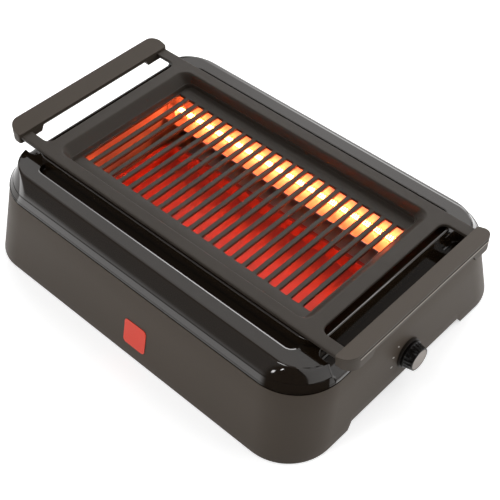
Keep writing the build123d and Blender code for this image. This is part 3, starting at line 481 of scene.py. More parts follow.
def makeHousing():
    h = housing
    # Columns: four corner arcs, and the short sides divided where the arch bends
    bend = h["archHalf"] + np.linspace(h["archMargin"], -h["archSlope"] - h["archMargin"], h["bendColumns"])
    straight = h["baseHalf"][1] - h["baseCorner"]
    flat = np.linspace(-bend[-1], bend[-1], h["flatColumns"])[1:-1]
    side = np.concatenate([-bend, flat, bend[::-1]]) / straight
    quarter = turns(h["cornerSteps"])
    # Three rows: share of the corner's reach in X, share of the straight in Y, share of the corner in Y
    quadrant = np.array([
        np.concatenate([np.ones(len(side)), np.cos(quarter)]),
        np.concatenate([side, np.ones(len(quarter))]),
        np.concatenate([np.zeros(len(side)), np.sin(quarter)]),
    ])
    # One half from the right side's front end round the back, then the same half turned round
    backLeft = (quadrant[:, len(side):] * [[-1], [1], [1]])[:, ::-1]
    half = np.concatenate([quadrant, backLeft], 1)
    columnX, columnSpan, columnCorner = np.concatenate([half, -half], 1)
    # Arch: full height inside, a straight slope at each foot. The corner arcs have a span of 1
    onSide = np.abs(columnSpan) < 1
    share = np.clip((h["archHalf"] - np.abs(columnSpan) * straight) / h["archSlope"], 0, 1)
    arch = np.where(onSide, h["archHeight"] * share, 0.0)
    # Rows of inset, share of the height and nudge: out and up the outer wall, over the edge, down inside
    ease, rim, wall = h["edge"], h["topEdge"], h["wall"]
    bow = turns(3)
    rows = [(ease - ease * sin(a), 0.0, ease - ease * cos(a)) for a in bow[1:]]
    rows += [(0.0, f, ease * (1 - 2 * f)) for f in h["wallRows"]]
    rows += [(rim - rim * cos(a), 1.0, -rim + rim * sin(a)) for a in bow]
    rows += [(wall, 1.0, 0.0), (wall, 0.5, 0.0), (wall, 0.0, 0.0), (wall / 2, 0.0, 0.0), (ease, 0.0, 0.0)]
    inset, lift, nudge = (np.array(rows)[:, k][:, None] for k in range(3))
    foot = h["floorGap"] + arch[None, :]
    z = foot + (h["seamHeight"] - foot) * lift + nudge
    # Every size runs straight from the base to the seam by the share of the height, less the inset
    up = z / h["seamHeight"]
    halfX = h["baseHalf"][0] + (h["seamHalf"][0] - h["baseHalf"][0]) * up - inset
    halfY = h["baseHalf"][1] + (h["seamHalf"][1] - h["baseHalf"][1]) * up - inset
    corner = h["baseCorner"] + (h["seamCorner"] - h["baseCorner"]) * up - inset
    x = np.sign(columnX) * (halfX - corner) + corner * columnX
    y = columnSpan * (halfY - corner) + corner * columnCorner
    solid = Solid()
    solid.grid(np.stack([x, y, z], -1), wrapRows=True)
    solid.make("housingShell", "base", housingPlastic, ("base_housing",), sharp=40)


makeHousing()
print("housing made")

# Gloss cover: skirt, crease, curved shoulder, deck, troughs, pockets and raised lip
cover = {
    **seamSizes,
    "groove": 1.8, "grooveHeight": 2.0, "grooveInset": 0.3, "grooveRise": 0.1, "skirtEase": 0.4,
    "creaseHalf": (243.8, 166.8), "creaseCorner": 59.0, "creaseHeight": 103.8, "creaseGroove": 0.6,
    # Rows as shares of the skirt's height, and of the crease's groove
    "skirtRows": (0.25, 0.5, 0.75, 0.9), "creaseRows": (-0.95, -0.05),
    "sideLean": 0.68, "cornerLean": 0.32, "shoulderSteps": 18,
    "deckHalf": (236.7, 151.0), "deckCorner": 37.0, "deckHeight": 119.0,
    "lead": 1.9, "leadFall": 0.13, "skin": 2.0, "edge": 0.7, "ease": 1.3, "easeTilt": 2.2,
    "hold": 0.08, "holdShare": 0.96, "floorLead": 1.0,
    "lipHalf": (219.0, 121.5), "lipCorner": 24.0, "lipThick": 4.0, "lipEndShare": 0.6, "lipHeight": 129.7,
    "lipEase": 1.0, "lipStep": 0.5, "lipUnderTrough": 2.6, "tuck": 2.0,
    "flangeReach": 203.0, "flangeHeight": 123.0, "flangeCorner": 1.0, "flangeThick": 1.6, "flangeEnd": 1.2,
    "troughHalf": (200.0, 133.5), "troughCorner": 10.0, "troughFloor": 112.0, "troughFoot": 1.2,
    "troughEnd": 118.0, "troughGap": 0.5,
    "pocketHalf": 120.0, "pocketCorner": 9.0, "pocketFloor": 100.6, "pocketFoot": 1.5, "pocketEnd": 0.2,
    "bandEase": 0.8, "bandReach": 3.0, "bandSteps": 6,
}


# Offset and height of the groove over the seam, up to where the skirt starts
def grooveRows(c):
    inset, low = c["groove"], c["seamHeight"]
    return [(c["grooveInset"], low), (inset, low + c["grooveRise"]), (inset, low + c["grooveHeight"])]


# Half sizes and corner of the outer skin, one row per level from the seam groove to the deck
def coverLevels():
    c = cover
    seam = np.array([*c["seamHalf"], c["seamCorner"]])
    crease = np.array([*c["creaseHalf"], c["creaseCorner"]])
    deck = np.array([*c["deckHalf"], c["deckCorner"]])
    lean = np.array([c["sideLean"], c["sideLean"], c["cornerLean"]])
    ease, low = c["skirtEase"], c["seamHeight"] + c["grooveHeight"]
    rows = [(*(seam - inset), z) for inset, z in grooveRows(c)]
    rows += [(*(seam - ease * (1 - sin(a))), low + ease * (1 - cos(a))) for a in turns(3)]
    low += ease
    rows += [
        (*(seam + (crease - seam) * f), low + (c["creaseHeight"] - low) * f)
        for f in c["skirtRows"]
    ]
    w = c["creaseGroove"]
    rows += [(*(crease - w), c["creaseHeight"] + w * f) for f in c["creaseRows"]]
    # Shoulder: the share of the way in is twice t times (1 - t) times the lean, plus t squared, and the
    # share of the way up is 1 less (1 - t) squared, so it starts leaning in and ends level
    climb = c["deckHeight"] - c["leadFall"] - c["creaseHeight"]
    for t in np.linspace(0, 1, c["shoulderSteps"] + 1):
        inward = 2 * t * (1 - t) * lean + t ** 2
        rows.append((*(crease + (deck - crease) * inward), c["creaseHeight"] + climb * (1 - (1 - t) ** 2)))
    rows.append((*(deck - c["lead"]), c["deckHeight"]))
    return np.array(rows)


# The skin along the front, cut where it meets the pockets: two corner arcs, clockwise. Each arc is its
# centre plus its radius along the cosine and sine, from the cut's angle to the front
def frontSkin(levels, cut, steps=28):
    halfX, halfY, corner, z = (levels[:, k][:, None] for k in range(4))
    start = np.arcsin(np.clip((cut - halfY + corner) / corner, -1, 1))
    angle = start + (pi / 2 - start) * np.linspace(0, 1, steps + 1)[None, :]
    x = halfX - corner + corner * np.cos(angle)
    y = -(halfY - corner) - corner * np.sin(angle)
    right = np.stack([x, y, z + 0 * x], -1)
    return np.concatenate([right, (right * [-1, 1, 1])[:, ::-1]], 1)


# A wall down from the deck: the deck falls a little over its last stretch, rounds into the wall, and the
# wall rounds out into its floor
def edgeProfile(c, floor, foot):
    e, top = c["edge"], c["deckHeight"]
    fall = c["ease"] * sin(radians(c["easeTilt"]))
    rows = [(-e - c["ease"], top), (-e - c["hold"], top - c["holdShare"] * fall)]
    rows += [(-e + e * sin(a), top - fall - e + e * cos(a)) for a in turns(5)]
    rows += [(0.0, (top + floor) / 2)]
    rows += [(foot - foot * cos(a), floor + foot - foot * sin(a)) for a in turns(4)]
    return rows + [(foot + c["floorLead"], floor)]


# A path at the right end, and the same path at the front and back as one
def bothEnds(path):
    return np.concatenate([path, (path * [1, -1])[::-1]])


def makeCover():
    c = cover
    solid = Solid()
    levels = coverLevels()
    skin = frontSkin(levels, c["pocketHalf"])
    lipX, lipY = c["lipHalf"]
    trough = [(c["troughHalf"][0], -c["troughEnd"]), (c["troughHalf"][0], -c["troughHalf"][1])]
    trough += [(-x, y) for x, y in trough[::-1]]
    troughRadii = [0, c["troughCorner"], c["troughCorner"], 0]
    troughRows = edgeProfile(c, c["troughFloor"], c["troughFoot"])
    pocket = [
        (skin[-1, 0, 0], -c["pocketHalf"]), (lipX, -c["pocketHalf"]),
        (lipX, -lipY + c["lipCorner"] - c["pocketEnd"]),
    ]
    pocketRadii = [0, c["pocketCorner"], 0]
    pocketRows = edgeProfile(c, c["pocketFloor"], c["pocketFoot"])
    wall = carried(pocket, pocketRadii, pocketRows, closed=False)
    # The pocket's wall starts on the skin, level by level above the groove's three
    wall[:, 0, 0] = np.interp([z for o, z in pocketRows], levels[3:, 3], skin[3:, 0, 0])
    # The deck's edge: skin, left pocket, lip, trough, lip, right pocket
    deckTrough = roundedPath(trough, troughRadii, troughRows[0][0], closed=False)
    tuck = c["tuck"]
    arc = roundedRings([lipX - tuck], [lipY - tuck], [c["lipCorner"] - tuck], [0.0], steps=8)[0]
    arc = arc[(arc[:, 0] > 0) & (arc[:, 1] < 0)][:, :2]
    arc = arc[arc[:, 0] > deckTrough[0, 0] + c["troughGap"]]
    arc = arc[np.argsort(-arc[:, 1])]
    rightSide = np.concatenate([wall[0, :-1, :2], arc])
    leftSide = (rightSide * [-1, 1])[::-1]
    deck = np.concatenate([rightSide, deckTrough, leftSide, skin[-1, :, :2][::-1]])
    troughBottom = roundedPath(trough, troughRadii, troughRows[-1][0], closed=False)
    for back in (1, -1):
        turned = np.array([1, back, 1])
        solid.slab(skin * turned, c["skin"] * back)
        solid.fill([deck * turned[:2]], c["deckHeight"], c["skin"])
        solid.slab(carried(trough, troughRadii, troughRows, closed=False) * turned, c["skin"] * back)
        solid.fill([troughBottom * turned[:2]], c["troughFloor"], c["skin"])
        for left in (1, -1):
            solid.slab(wall * turned * [left, 1, 1], c["skin"] * back * left)
    # Ends below the pockets: the skirt's low band rolled over into the pocket's floor
    seamX, seamY = c["seamHalf"]
    r, low = c["seamCorner"], c["seamHeight"] + c["grooveHeight"]
    ease, roll = c["skirtEase"], c["bandEase"]
    bandRows = [(-inset, z) for inset, z in grooveRows(c)]
    bandRows += [(-ease + ease * sin(a), low + ease - ease * cos(a)) for a in turns(2)]
    bandRows += [(-roll + roll * cos(a), c["pocketFloor"] - roll + roll * sin(a)) for a in turns(4)]
    bandRows += [(-c["bandReach"], c["pocketFloor"])]
    angle = np.linspace(-np.arcsin((c["pocketHalf"] - seamY + r) / r), 0, c["bandSteps"] + 1)
    band = np.stack([
        rise(bothEnds(np.column_stack([
            seamX - r + (r + o) * np.cos(angle), r - seamY + (r + o) * np.sin(angle),
        ])), z)
        for o, z in bandRows
    ])
    inner = roundedPath(pocket, pocketRadii, pocketRows[-1][0], closed=False)
    inner[0, 0] = band[-1, 0, 0]
    floorEdge = np.concatenate([bothEnds(inner), band[-1, 1:-1, :2][::-1]])
    floorEdge[np.abs(floorEdge[:, 0] - inner[-1, 0]) < slack, 0] = lipX - tuck
    for left in (1, -1):
        solid.slab(band * [left, 1, 1], -c["skin"] * left)
        solid.fill([floorEdge * [left, 1]], c["pocketFloor"], c["skin"])
    # Raised lip round the opening, deeper at the ends
    e, t, top = c["lipEase"], c["lipThick"], c["lipHeight"]
    lip = [(0.0, 0.0), (0.0, c["lipStep"])]
    lip += [(-e + e * cos(a), top - e + e * sin(a)) for a in turns(5)] + [(-t / 2, top)]
    lip += [(-t + e - e * sin(a), top - e + e * cos(a)) for a in turns(5)] + [(-t, c["lipStep"]), (-t, 0.0)]
    offset, z = np.array(lip).T
    endOffset = offset * c["lipEndShare"]
    rings = roundedRings(lipX + endOffset, lipY + offset, c["lipCorner"] + offset, z, steps=14)
    # Heights under 1 are shares of the way up from the lip's foot, which is at the seam beyond the troughs
    alongTrough = np.abs(rings[..., 0]) < lipX - c["lipCorner"] + slack
    low = np.where(alongTrough, c["troughFloor"] - c["lipUnderTrough"], c["seamHeight"])
    share = np.where(z < 1, z, 1.0)[:, None]
    rings[..., 2] = np.where(share < 1, low + (top - low) * share, rings[..., 2])
    solid.grid(rings, wrapRows=True)
    # A dark flange from each end of the lip reaches under the plate's rim
    far, wide, near = lipX - c["flangeEnd"], lipY - tuck, c["flangeReach"]
    small, large = c["flangeCorner"], c["lipCorner"] - tuck
    flange = [(near, -wide), (far, -wide), (far, wide), (near, wide)]
    flange = roundedPath(flange, [small, large, large, small])
    for left in (1, -1):
        solid.fill([flange * [left, 1]], c["flangeHeight"], c["flangeThick"])
    replaced = ("top_cover", "left_pocket_panel", "right_pocket_panel")
    solid.make("glossCover", "base", coverLacquer, replaced, sharp=30)


makeCover()
print("cover made")

# Grill plate: rim with four arms, sunken well, slotted grate
plate = {
    "armHalf": 254.0, "rimHalf": (209.8, 118.8), "armWidth": 15.3, "armCorner": 3.6, "windowCorner": 10.0,
    "top": 134.0, "rimThick": 4.0, "edge": 1.1, "lead": 1.4, "underEdge": 0.6,
    "wellHalf": (194.0, 105.2), "wellCorner": 14.0, "bendHalf": (192.0, 103.7), "bendCorner": 13.0,
    "shoulderHalf": (187.0, 102.5), "shoulderCorner": 12.0, "shoulderDrop": 6.0, "wellSteps": 8,
    "beadHalf": (182.0, 101.3), "beadCorner": 10.0, "beadDrop": 11.6, "beadStep": 0.9, "beadEase": 0.35,
    "beadFall": 0.1, "beadLip": 0.25, "beadLipFall": 0.45,
    "grateHalf": (179.6, 100.0), "grateCorner": 8.0, "grateDrop": 17.0, "grateThick": 4.0, "foot": 0.7,
    # The well's outer face: how far beyond the well or the grate, corner, height over its lower edge
    "outerTop": (0.5, 1.3, 16.0), "outerLow": (3.6, 3.4, 11.5, 0.8), "outerEdge": (2.4, 2.4, 10.5),
    "slotCount": 22, "slotPitch": 16.4, "slotHalf": (5.4, 80.3), "slotCorner": 1.2, "slotEdge": 0.55,
    "slotUnderEdge": 0.3,
}


def makePlate():
    p = plate
    solid = Solid()
    ax, (rx, wy), top = p["armHalf"], p["rimHalf"], p["top"]
    iy = wy - p["armWidth"]
    right = [(ax, -wy), (ax, -iy), (rx, -iy), (rx, iy), (ax, iy), (ax, wy)]
    outline = right + [(-x, y) for x, y in right[::-1]]
    r, w = p["armCorner"], p["windowCorner"]
    radii = [r, r, w, w, r, r] * 2
    e, u, under = p["edge"], p["underEdge"], top - p["rimThick"]
    profile = [(-e - p["lead"], top)] + [(-e + e * sin(a), top - e + e * cos(a)) for a in turns(4)]
    profile += [(-u + u * cos(a), under + u - u * sin(a)) for a in turns(3)] + [(-u - p["lead"], under)]
    rim = carried(outline, radii, profile)
    solid.grid(rim)
    # Well: a soft curve off the rim, steep side, thin bead line, small fillet to the grate. The curve is
    # (1 - t) squared of the start, twice t (1 - t) of the bend and t squared of the shoulder
    t = np.linspace(0, 1, p["wellSteps"] + 1)[:, None]
    start = np.array([*p["wellHalf"], p["wellCorner"], top])
    bend = np.array([*p["bendHalf"], p["bendCorner"], top])
    shoulder = np.array([*p["shoulderHalf"], p["shoulderCorner"], top - p["shoulderDrop"]])
    curve = (1 - t) ** 2 * start + 2 * t * (1 - t) * bend + t ** 2 * shoulder
    lead = start + [p["lead"], p["lead"], p["lead"], 0]
    bead = np.array([*p["beadHalf"], p["beadCorner"], top - p["beadDrop"]])
    ledge = [
        bead - [inset, inset, inset, fall]
        for inset, fall in (
            (0, 0), (p["beadEase"], p["beadFall"]), (p["beadStep"], p["beadFall"]),
            (p["beadStep"] + p["beadLip"], p["beadLipFall"]),
        )
    ]
    gx, gy = p["grateHalf"]
    f, grate = p["foot"], top - p["grateDrop"]
    foot = [
        (gx - f + f * cos(a), gy - f + f * cos(a), p["grateCorner"] - f + f * cos(a), grate + f - f * sin(a))
        for a in turns(3)
    ]
    well = roundedRings(*np.concatenate([[lead], curve, ledge, foot]).T, steps=10)
    solid.grid(well)
    grateUnder = grate - p["grateThick"]
    (topX, topY, topCorner), (edgeX, edgeY, edgeCorner) = p["outerTop"], p["outerEdge"]
    lowX, lowY, lowCorner, lowLift = p["outerLow"]
    outer = np.array([
        (p["wellHalf"][0] + topX, p["wellHalf"][1] + topY, topCorner, under),
        (gx + lowX, gy + lowY, lowCorner, grateUnder + lowLift),
        (gx + edgeX, gy + edgeY, edgeCorner, grateUnder),
    ])
    shell = roundedRings(*outer.T, steps=10)
    solid.grid(shell)
    solid.fill([rim[0, :, :2], well[0, :, :2]], top)
    solid.fill([rim[-1, :, :2], shell[0, :, :2]], under)
    # Slots: one rounded opening, repeated by its pitch
    sx, sy = p["slotHalf"]
    s, u = p["slotEdge"], p["slotUnderEdge"]
    slotRows = [(s - s * sin(a), grate - s + s * cos(a)) for a in turns(3)]
    slotRows += [(u - u * cos(a), grateUnder + u - u * sin(a)) for a in turns(2)]
    slot = carried([(sx, -sy), (sx, sy), (-sx, sy), (-sx, -sy)], p["slotCorner"], slotRows, steps=4)
    centres = (np.arange(p["slotCount"]) - (p["slotCount"] - 1) / 2) * p["slotPitch"]
    for centre in centres:
        solid.grid(slot + [centre, 0, 0])
    solid.fill([well[-1, :, :2]] + [slot[0, :, :2] + [centre, 0] for centre in centres], grate)
    solid.fill([shell[-1, :, :2]] + [slot[-1, :, :2] + [centre, 0] for centre in centres], grateUnder)
    solid.make("grillPlate", "plate", plateCoating, ("grill_plate",), weld=True, sharp=30)


makePlate()
print("grill plate made")

# Grips: the CAD halves with eased edges
for side in ("left", "right"):
    eased(side + "_handle_base", "plate", gripPlastic, ease=1.3, segments=4)
    eased(side + "_handle_cap", "plate", gripPlastic, ease=2.0, segments=4)


# The line between the two halves shows high on the outer face: a flat dark strip of painted shadow stands for
# the shade in the parting groove, over a thin bead painted lighter as a highlight
partingLine = {
    "halfLength": 108.0, "face": 265.0, "depth": 0.4, "bowSteps": 8, "lengthSteps": 24,
    # Height on the face, half width, and how far it stands out
    "gapShade": (139.9, 0.75, 0.06), "bead": (138.0, 1.1, 0.6),
}


def makePartingLine(side, sign):
    p = partingLine
    # The first strip is painted shadow; the second is a real bead whose light colour is a painted highlight
    for name, (at, half, lift), material in (("Gap", p["gapShade"], seamShadow), ("Bead", p["bead"], beadPaintedHighlight)):
        # A low bow over the strip's width: x is the face plus the lift along the sine, z is the strip's
        # height plus its half width along the cosine
        bow = np.linspace(0, pi, p["bowSteps"] + 1)[None, :]
        y = np.linspace(-1, 1, p["lengthSteps"] + 1)[:, None] * p["halfLength"]
        sheet = [p["face"] + lift * np.sin(bow) + 0 * y, y + 0 * bow, at + half * np.cos(bow) + 0 * y]
        solid = Solid()
        solid.slab(np.stack(sheet, -1) * [sign, 1, 1], -p["depth"] * sign)
        solid.make(side + "Parting" + name, "plate", material)


makePartingLine("left", -1)
makePartingLine("right", 1)
print("grips made")

# Control knob: a turned profile, its side cut by flutes that fade towards the face
knob = {
    "centre": (0.0, 38.0), "back": 254.5, "face": 268.0, "skirt": 17.0, "skirtLength": 3.0,
    "skirtEase": 0.3, "skirtLip": 0.4,
    "grip": 16.0, "top": 14.4, "edge": 0.8, "insert": 12.6, "insertDeep": 1.0, "insertEase": 0.2,
    "flutes": 20, "fluteDeep": 0.8, "fluteFade": 2.2, "fluteEnd": 0.6, "fluteSteps": 12, "ridge": 0.7,
    "sideRows": (0.1, 0.96, 8),  # first, last and count, as shares of the way down the side
    "shaft": 3.05, "shaftDeep": 9.5, "hollow": 13.5, "hollowDeep": 8.0, "boss": 6.5,
}


def makeKnob():
    k = knob
    face, edge, b, e = k["face"], k["edge"], k["back"], k["skirtEase"]
    s = b + k["skirtLength"]
    # Each point is its place along the axis, its radius and the share of the flutes that it shows
    outline = [(face - k["insertDeep"], 0.0, 0.0), (face - k["insertDeep"], k["insert"], 0.0)]
    outline += [(face - k["insertEase"], k["insert"], 0.0), (face, k["insert"] + k["insertEase"], 0.0)]
    outline += [(face - edge * (1 - cos(a)), k["top"] - edge * (1 - sin(a)), 0.0) for a in turns(5)]
    side, taper, fade = face - edge - s, k["grip"] - k["top"], k["fluteFade"]
    outline += [
        (face - edge - f * side, k["top"] + f * taper, min(1.0, fade * f))
        for f in np.linspace(*k["sideRows"])
    ]
    outline += [(s, k["grip"], k["fluteEnd"]), (s, k["skirt"] - k["skirtLip"], 0.0), (s - e, k["skirt"], 0.0)]
    outline += [(b + e, k["skirt"], 0.0), (b, k["skirt"] - e, 0.0), (b, k["hollow"], 0.0)]
    outline += [(b + k["hollowDeep"], k["hollow"], 0.0), (b + k["hollowDeep"], k["boss"], 0.0)]
    outline += [(b, k["boss"], 0.0), (b, k["shaft"], 0.0)]
    outline += [(b + k["shaftDeep"], k["shaft"], 0.0), (b + k["shaftDeep"], 0.0, 0.0)]
    along, radius, cut = (np.array(outline)[:, j][:, None] for j in range(3))
    # The radius loses the flute's depth times half of 1 less the cosine round the knob, to a power
    angle = np.linspace(0, 2 * pi, k["flutes"] * k["fluteSteps"], endpoint=False)[None, :]
    wave = (0.5 - 0.5 * np.cos(k["flutes"] * angle)) ** k["ridge"]
    reach = radius - k["fluteDeep"] * cut * wave
    y, z = k["centre"][0] + reach * np.cos(angle), k["centre"][1] + reach * np.sin(angle)
    solid = Solid()
    solid.grid(np.stack([along + 0 * angle, y, z], -1))
    solid.make("fluteKnob", "knob", knobPlastic, ("control_knob",), weld=True, sharp=35)


makeKnob()
eased("knob_insert", "knob", satinDisc, ease=0.15)
eased("knob_bezel", "base", bezelPlastic, ease=0.4)
eased("dial_marks", "base", dialPaint, ease=0.08, segments=1)
eased("badge", "base", badgePaint, ease=0.3, segments=3)
print("control and badge made")

# Heating wire: a coil wound round each heater's axis, a little shorter than the tube
coil = {"radius": 2.7, "wire": 0.42, "pitch": 3.4, "sides": 6, "perTurn": 14, "inset": 1.0}


def makeCoil(node, name):
    c = coil
    low, high = corners(node)
    length = high[0] - low[0] - 2 * c["inset"]
    count = int(length / c["pitch"])
    t = np.linspace(0, 1, count * c["perTurn"] + 1)[:, None]
    turn = 2 * pi * count * t
    y0, z0 = (low[1] + high[1]) / 2, (low[2] + high[2]) / 2
    # Round the wire: outward is the coil's radius plus the wire's along the cosine, and the place along
    # the axis moves by the wire's radius along the sine
    side = 2 * pi * np.arange(c["sides"])[None, :] / c["sides"]
    reach = c["radius"] + c["wire"] * np.cos(side)
    x = low[0] + c["inset"] + length * t + c["wire"] * np.sin(side)
    sheet = np.stack([x, y0 + reach * np.cos(turn), z0 + reach * np.sin(turn)], -1)
    solid = Solid()
    solid.grid(sheet)
    ends = np.arange(c["sides"])
    solid.faces += [ends.tolist(), (ends + (len(sheet) - 1) * c["sides"]).tolist()]
    solid.make(name, "base", hotWire, (node,), sharp=60)


makeCoil("front_filament", "frontCoil")
makeCoil("rear_filament", "rearCoil")
for end in ("front", "rear"):
    eased(end + "_heating_tube", "base", quartzGlass, ease=0)
    eased(end + "_reflector", "base", reflectorSheet, ease=0)
print("heaters made")

# The remaining pieces keep their CAD solids, with eased edges and their own finishes
remaining = {
    "heat_shield": ("base", "shield_sheet", shieldSheet, 0.0),
    "drip_tray": ("tray", "tray_enamel", trayEnamelAndGlowTint, 0.3),
    "tube_end_caps": ("base", "ceramic", ceramicBody, 0.5),
    "tube_brackets": ("base", "zinc_steel", zincSteel, 0.15),
    "bottom_cover": ("base", "bottom_plastic", undersidePlastic, 0.3),
    "rubber_feet": ("base", "foot_rubber", footRubber, 0.3),
    "cover_screws": ("base", "zinc_steel", zincSteel, 0.4),
    "ledge_screws": ("base", "zinc_steel", zincSteel, 0.4),
    "handle_screws": ("plate", "zinc_steel", zincSteel, 0.3),
    "shield_screws": ("base", "zinc_steel", zincSteel, 0.3),
    "thermostat": ("base", "thermostat_case", phenolicBody, 0.5),
    "control_bracket": ("base", "zinc_steel", zincSteel, 0.2),
    "thermostat_nut": ("base", "zinc_steel", zincSteel, 0.2),
    "control_shaft": ("knob", "zinc_steel", zincSteel, 0.2),
    "thermal_fuse": ("base", "shield_sheet", shieldSheet, 0.4),
    "terminal_block": ("base", "terminal_nylon", nylonBody, 0.5),
    "cord_gland": ("base", "foot_rubber", footRubber, 0.5),
    "internal_wiring": ("base", "lead_sleeve", sleeveWeave, 0.0),
}
for node, (body, slot, material, ease) in remaining.items():
    eased(node, body, material, ease)
print("inner and underside pieces made")

# Studio: white floor, and a world that is white to the camera, dim overhead and lit behind and low down
studio = {
    "floorHalf": 6.0, "floorColour": paint(238, 238, 238), "floorRough": 0.9, "floorLift": 0.6,
    "topLevel": 0.2, "frontLevel": 0.4, "backLevel": 1.4, "lowLevel": 1.95,
    "backEdge": (0.24, 0.36), "lowEdge": (0.1, 0.22), "frontFrom": 0.1, "frontEdge": (0.0, 0.5),
    # A dark flag round the camera
    "flagX": 0.72, "flagY": -0.69, "flagEdge": (0.36, 0.58), "flagDims": 0.6,
    "leftShare": 1.3, "leftEdge": (0.55, 0.9),
    # A bright slit high at the back, along one slope
    "slitLevel": 9.0, "slitSlope": 1.44, "slitHalf": 0.034, "slitEdge": (0.0, 0.012), "slitBack": (0.3, 0.4),
    "slitRight": 0.1, "slitRightEdge": (0.0, 0.1), "slitLeftEdge": (0.5, 0.62), "slitLeftDims": 0.65,
    # Two panels behind: one that the rear deck shows, and a bright one that only its falling edge shows
    "deckPanel": 0.9, "deckFrom": (0.95, 0.99), "deckTo": (1.18, 1.25),
    "edgePanel": 6.0, "edgeFrom": (0.68, 0.72), "edgeTo": (0.93, 0.97),
    "panelRightEdge": (0.15, 0.25), "panelLeftEdge": (0.46, 0.6), "panelLeftDims": 0.8,
}
white = (1, 1, 1, 1)


# The rays that look straight at the white background, also through glass, and those off a gloss
def seenRays(shade):
    camera, glass, glossy = (
        shade.node("ShaderNodeLightPath", {}, {}, output)
        for output in ("Is Camera Ray", "Is Transmission Ray", "Is Glossy Ray")
    )
    return camera.maths("MAXIMUM", camera, glass), glossy


def makeFloor():
    mesh = bpy.data.meshes.new("floor")
    s = studio["floorHalf"]
    mesh.from_pydata([(-s, -s, 0), (s, -s, 0), (s, s, 0), (-s, s, 0)], [], [(0, 1, 2, 3)])
    floor = bpy.data.objects.new("floor", mesh)
    bpy.context.scene.collection.objects.link(floor)
    material = bpy.data.materials.new("floorPaper")
    material.use_nodes = True
    shade = Shade(material.node_tree)
    seen, glossy = seenRays(shade)
    seen = seen.maths("MAXIMUM", seen, glossy)
    surface = shade.node("ShaderNodeBsdfPrincipled", {}, {
        "Base Color": studio["floorColour"], "Roughness": studio["floorRough"],
        "Emission Color": white, "Emission Strength": seen * studio["floorLift"],
    })
    shade.node("ShaderNodeOutputMaterial", {}, {"Surface": surface})
    mesh.materials.append(material)


def makeWorld():
    world = bpy.data.worlds.new("studio")
    bpy.context.scene.world = world
    world.use_nodes = True
    shade = Shade(world.node_tree)
    toward = shade.node("ShaderNodeTexCoord", {}, {}, "Generated")
    parts = world.node_tree.nodes.new("ShaderNodeSeparateXYZ")
    world.node_tree.links.new(toward.socket, parts.inputs[0])
    x, y, z = (Value(shade, parts.outputs[k]) for k in range(3))
    s = studio
    back = y.over(*s["backEdge"])
    flag = (s["flagX"] * x + s["flagY"] * y).over(*s["flagEdge"])
    low = (1.0 - z.over(*s["lowEdge"])) * (1.0 - flag)
    front = (s["frontFrom"] - y).over(*s["frontEdge"]) * (1.0 - flag)
    left = 1.0 + s["leftShare"] * (-x).over(*s["leftEdge"])
    slope = z - s["slitSlope"] * y  # zero along the slit
    slit = (slope + s["slitHalf"]).over(*s["slitEdge"]) * (s["slitHalf"] - slope).over(*s["slitEdge"])
    slit = slit * y.over(*s["slitBack"]) * (s["slitRight"] - x).over(*s["slitRightEdge"])
    slit = slit * (1.0 - s["slitLeftDims"] * (-x).over(*s["slitLeftEdge"]))
    high = s["topLevel"] * (1.0 - s["flagDims"] * flag) + (s["frontLevel"] - s["topLevel"]) * front
    slant = z / y
    panels = s["deckPanel"] * slant.over(*s["deckFrom"]) * (1.0 - slant.over(*s["deckTo"]))
    panels = panels + s["edgePanel"] * slant.over(*s["edgeFrom"]) * (1.0 - slant.over(*s["edgeTo"]))
    panels = panels * (-x).over(*s["panelRightEdge"])
    panels = panels * (1.0 - s["panelLeftDims"] * (-x).over(*s["panelLeftEdge"]))
    level = high + (s["backLevel"] - s["topLevel"] + panels) * back
    level = level + s["lowLevel"] * low * left * (1.0 - back) + s["slitLevel"] * slit
    # A gloss shows the white backdrop behind and low around the object at 1 or more
    seen, glossy = seenRays(shade)
    backdrop = glossy * low.maths("MAXIMUM", low, back)
    level = level.maths("MAXIMUM", level, backdrop)
    strength = seen + (1.0 - seen) * level
    light = shade.node("ShaderNodeBackground", {}, {"Color": white, "Strength": strength})
    shade.node("ShaderNodeOutputWorld", {}, {"Surface": light})


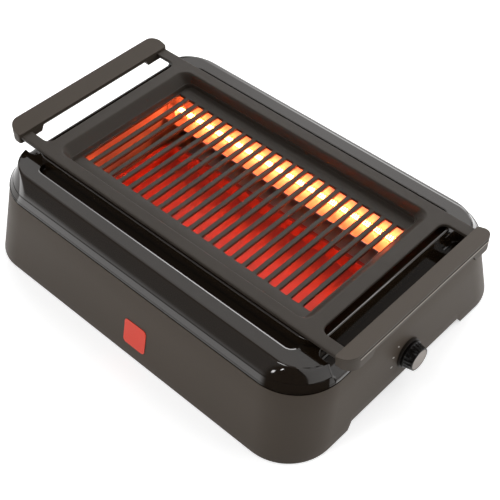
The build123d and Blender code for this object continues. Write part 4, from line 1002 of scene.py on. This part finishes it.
# Lamps: place, target, size and power. The glints stand low in front, and the cover's front right
# shoulder shows them as two spots
lamps = {
    "spark": ((-0.30, -0.93, 1.9), (0, 0, 0.05), (0.4, 0.3), 7.0),
    "leftGlint": ((0.0, -2.06, 0.66), (0.2, -0.15, 0.1), (0.16, 0.1), 0.7),
    "rightGlint": ((0.35, -2.03, 0.77), (0.2, -0.15, 0.1), (0.1, 0.1), 0.7),
    "rightBox": ((1.9, 0.6, 0.95), (0, 0, 0.1), (1.6, 1.0), 5.0),
}


def makeLamp(name, place, target, size, power):
    data = bpy.data.lights.new(name, "AREA")
    data.shape = "RECTANGLE"
    data.size, data.size_y = size
    data.energy = power
    light = bpy.data.objects.new(name, data)
    facing = (Vector(place) - Vector(target)).to_track_quat("Z", "Y")
    light.matrix_world = Matrix.Translation(place) @ facing.to_matrix().to_4x4()
    bpy.context.scene.collection.objects.link(light)


# Camera, solved from the housing's and the plate's straight edges in the photograph
view = {
    "azimuth": 43.382, "elevation": 46.522, "roll": -0.590, "place": (0.63195, -0.65083, 0.97632),
    "focalPixels": 1087.19, "framePixels": 500, "sensor": 36.0,
}


def makeCamera():
    a, e, r = (radians(view[k]) for k in ("azimuth", "elevation", "roll"))
    back = Vector((sin(a) * cos(e), -cos(a) * cos(e), sin(e)))
    right = Vector((cos(a), sin(a), 0))
    up = back.cross(right)
    turnedRight = right * cos(r) + up * sin(r)
    turnedUp = up * cos(r) - right * sin(r)
    data = bpy.data.cameras.new("camera")
    data.sensor_width = view["sensor"]
    data.lens = view["focalPixels"] / view["framePixels"] * view["sensor"]
    camera = bpy.data.objects.new("camera", data)
    facing = Matrix((turnedRight, turnedUp, back)).transposed().to_4x4()
    camera.matrix_world = Matrix.Translation(view["place"]) @ facing
    bpy.context.scene.collection.objects.link(camera)
    bpy.context.scene.camera = camera


makeFloor()
makeWorld()
for name, (place, target, size, power) in lamps.items():
    makeLamp(name, place, target, size, power)
makeCamera()
bpy.context.scene.view_settings.view_transform = "Standard"
print("studio made")
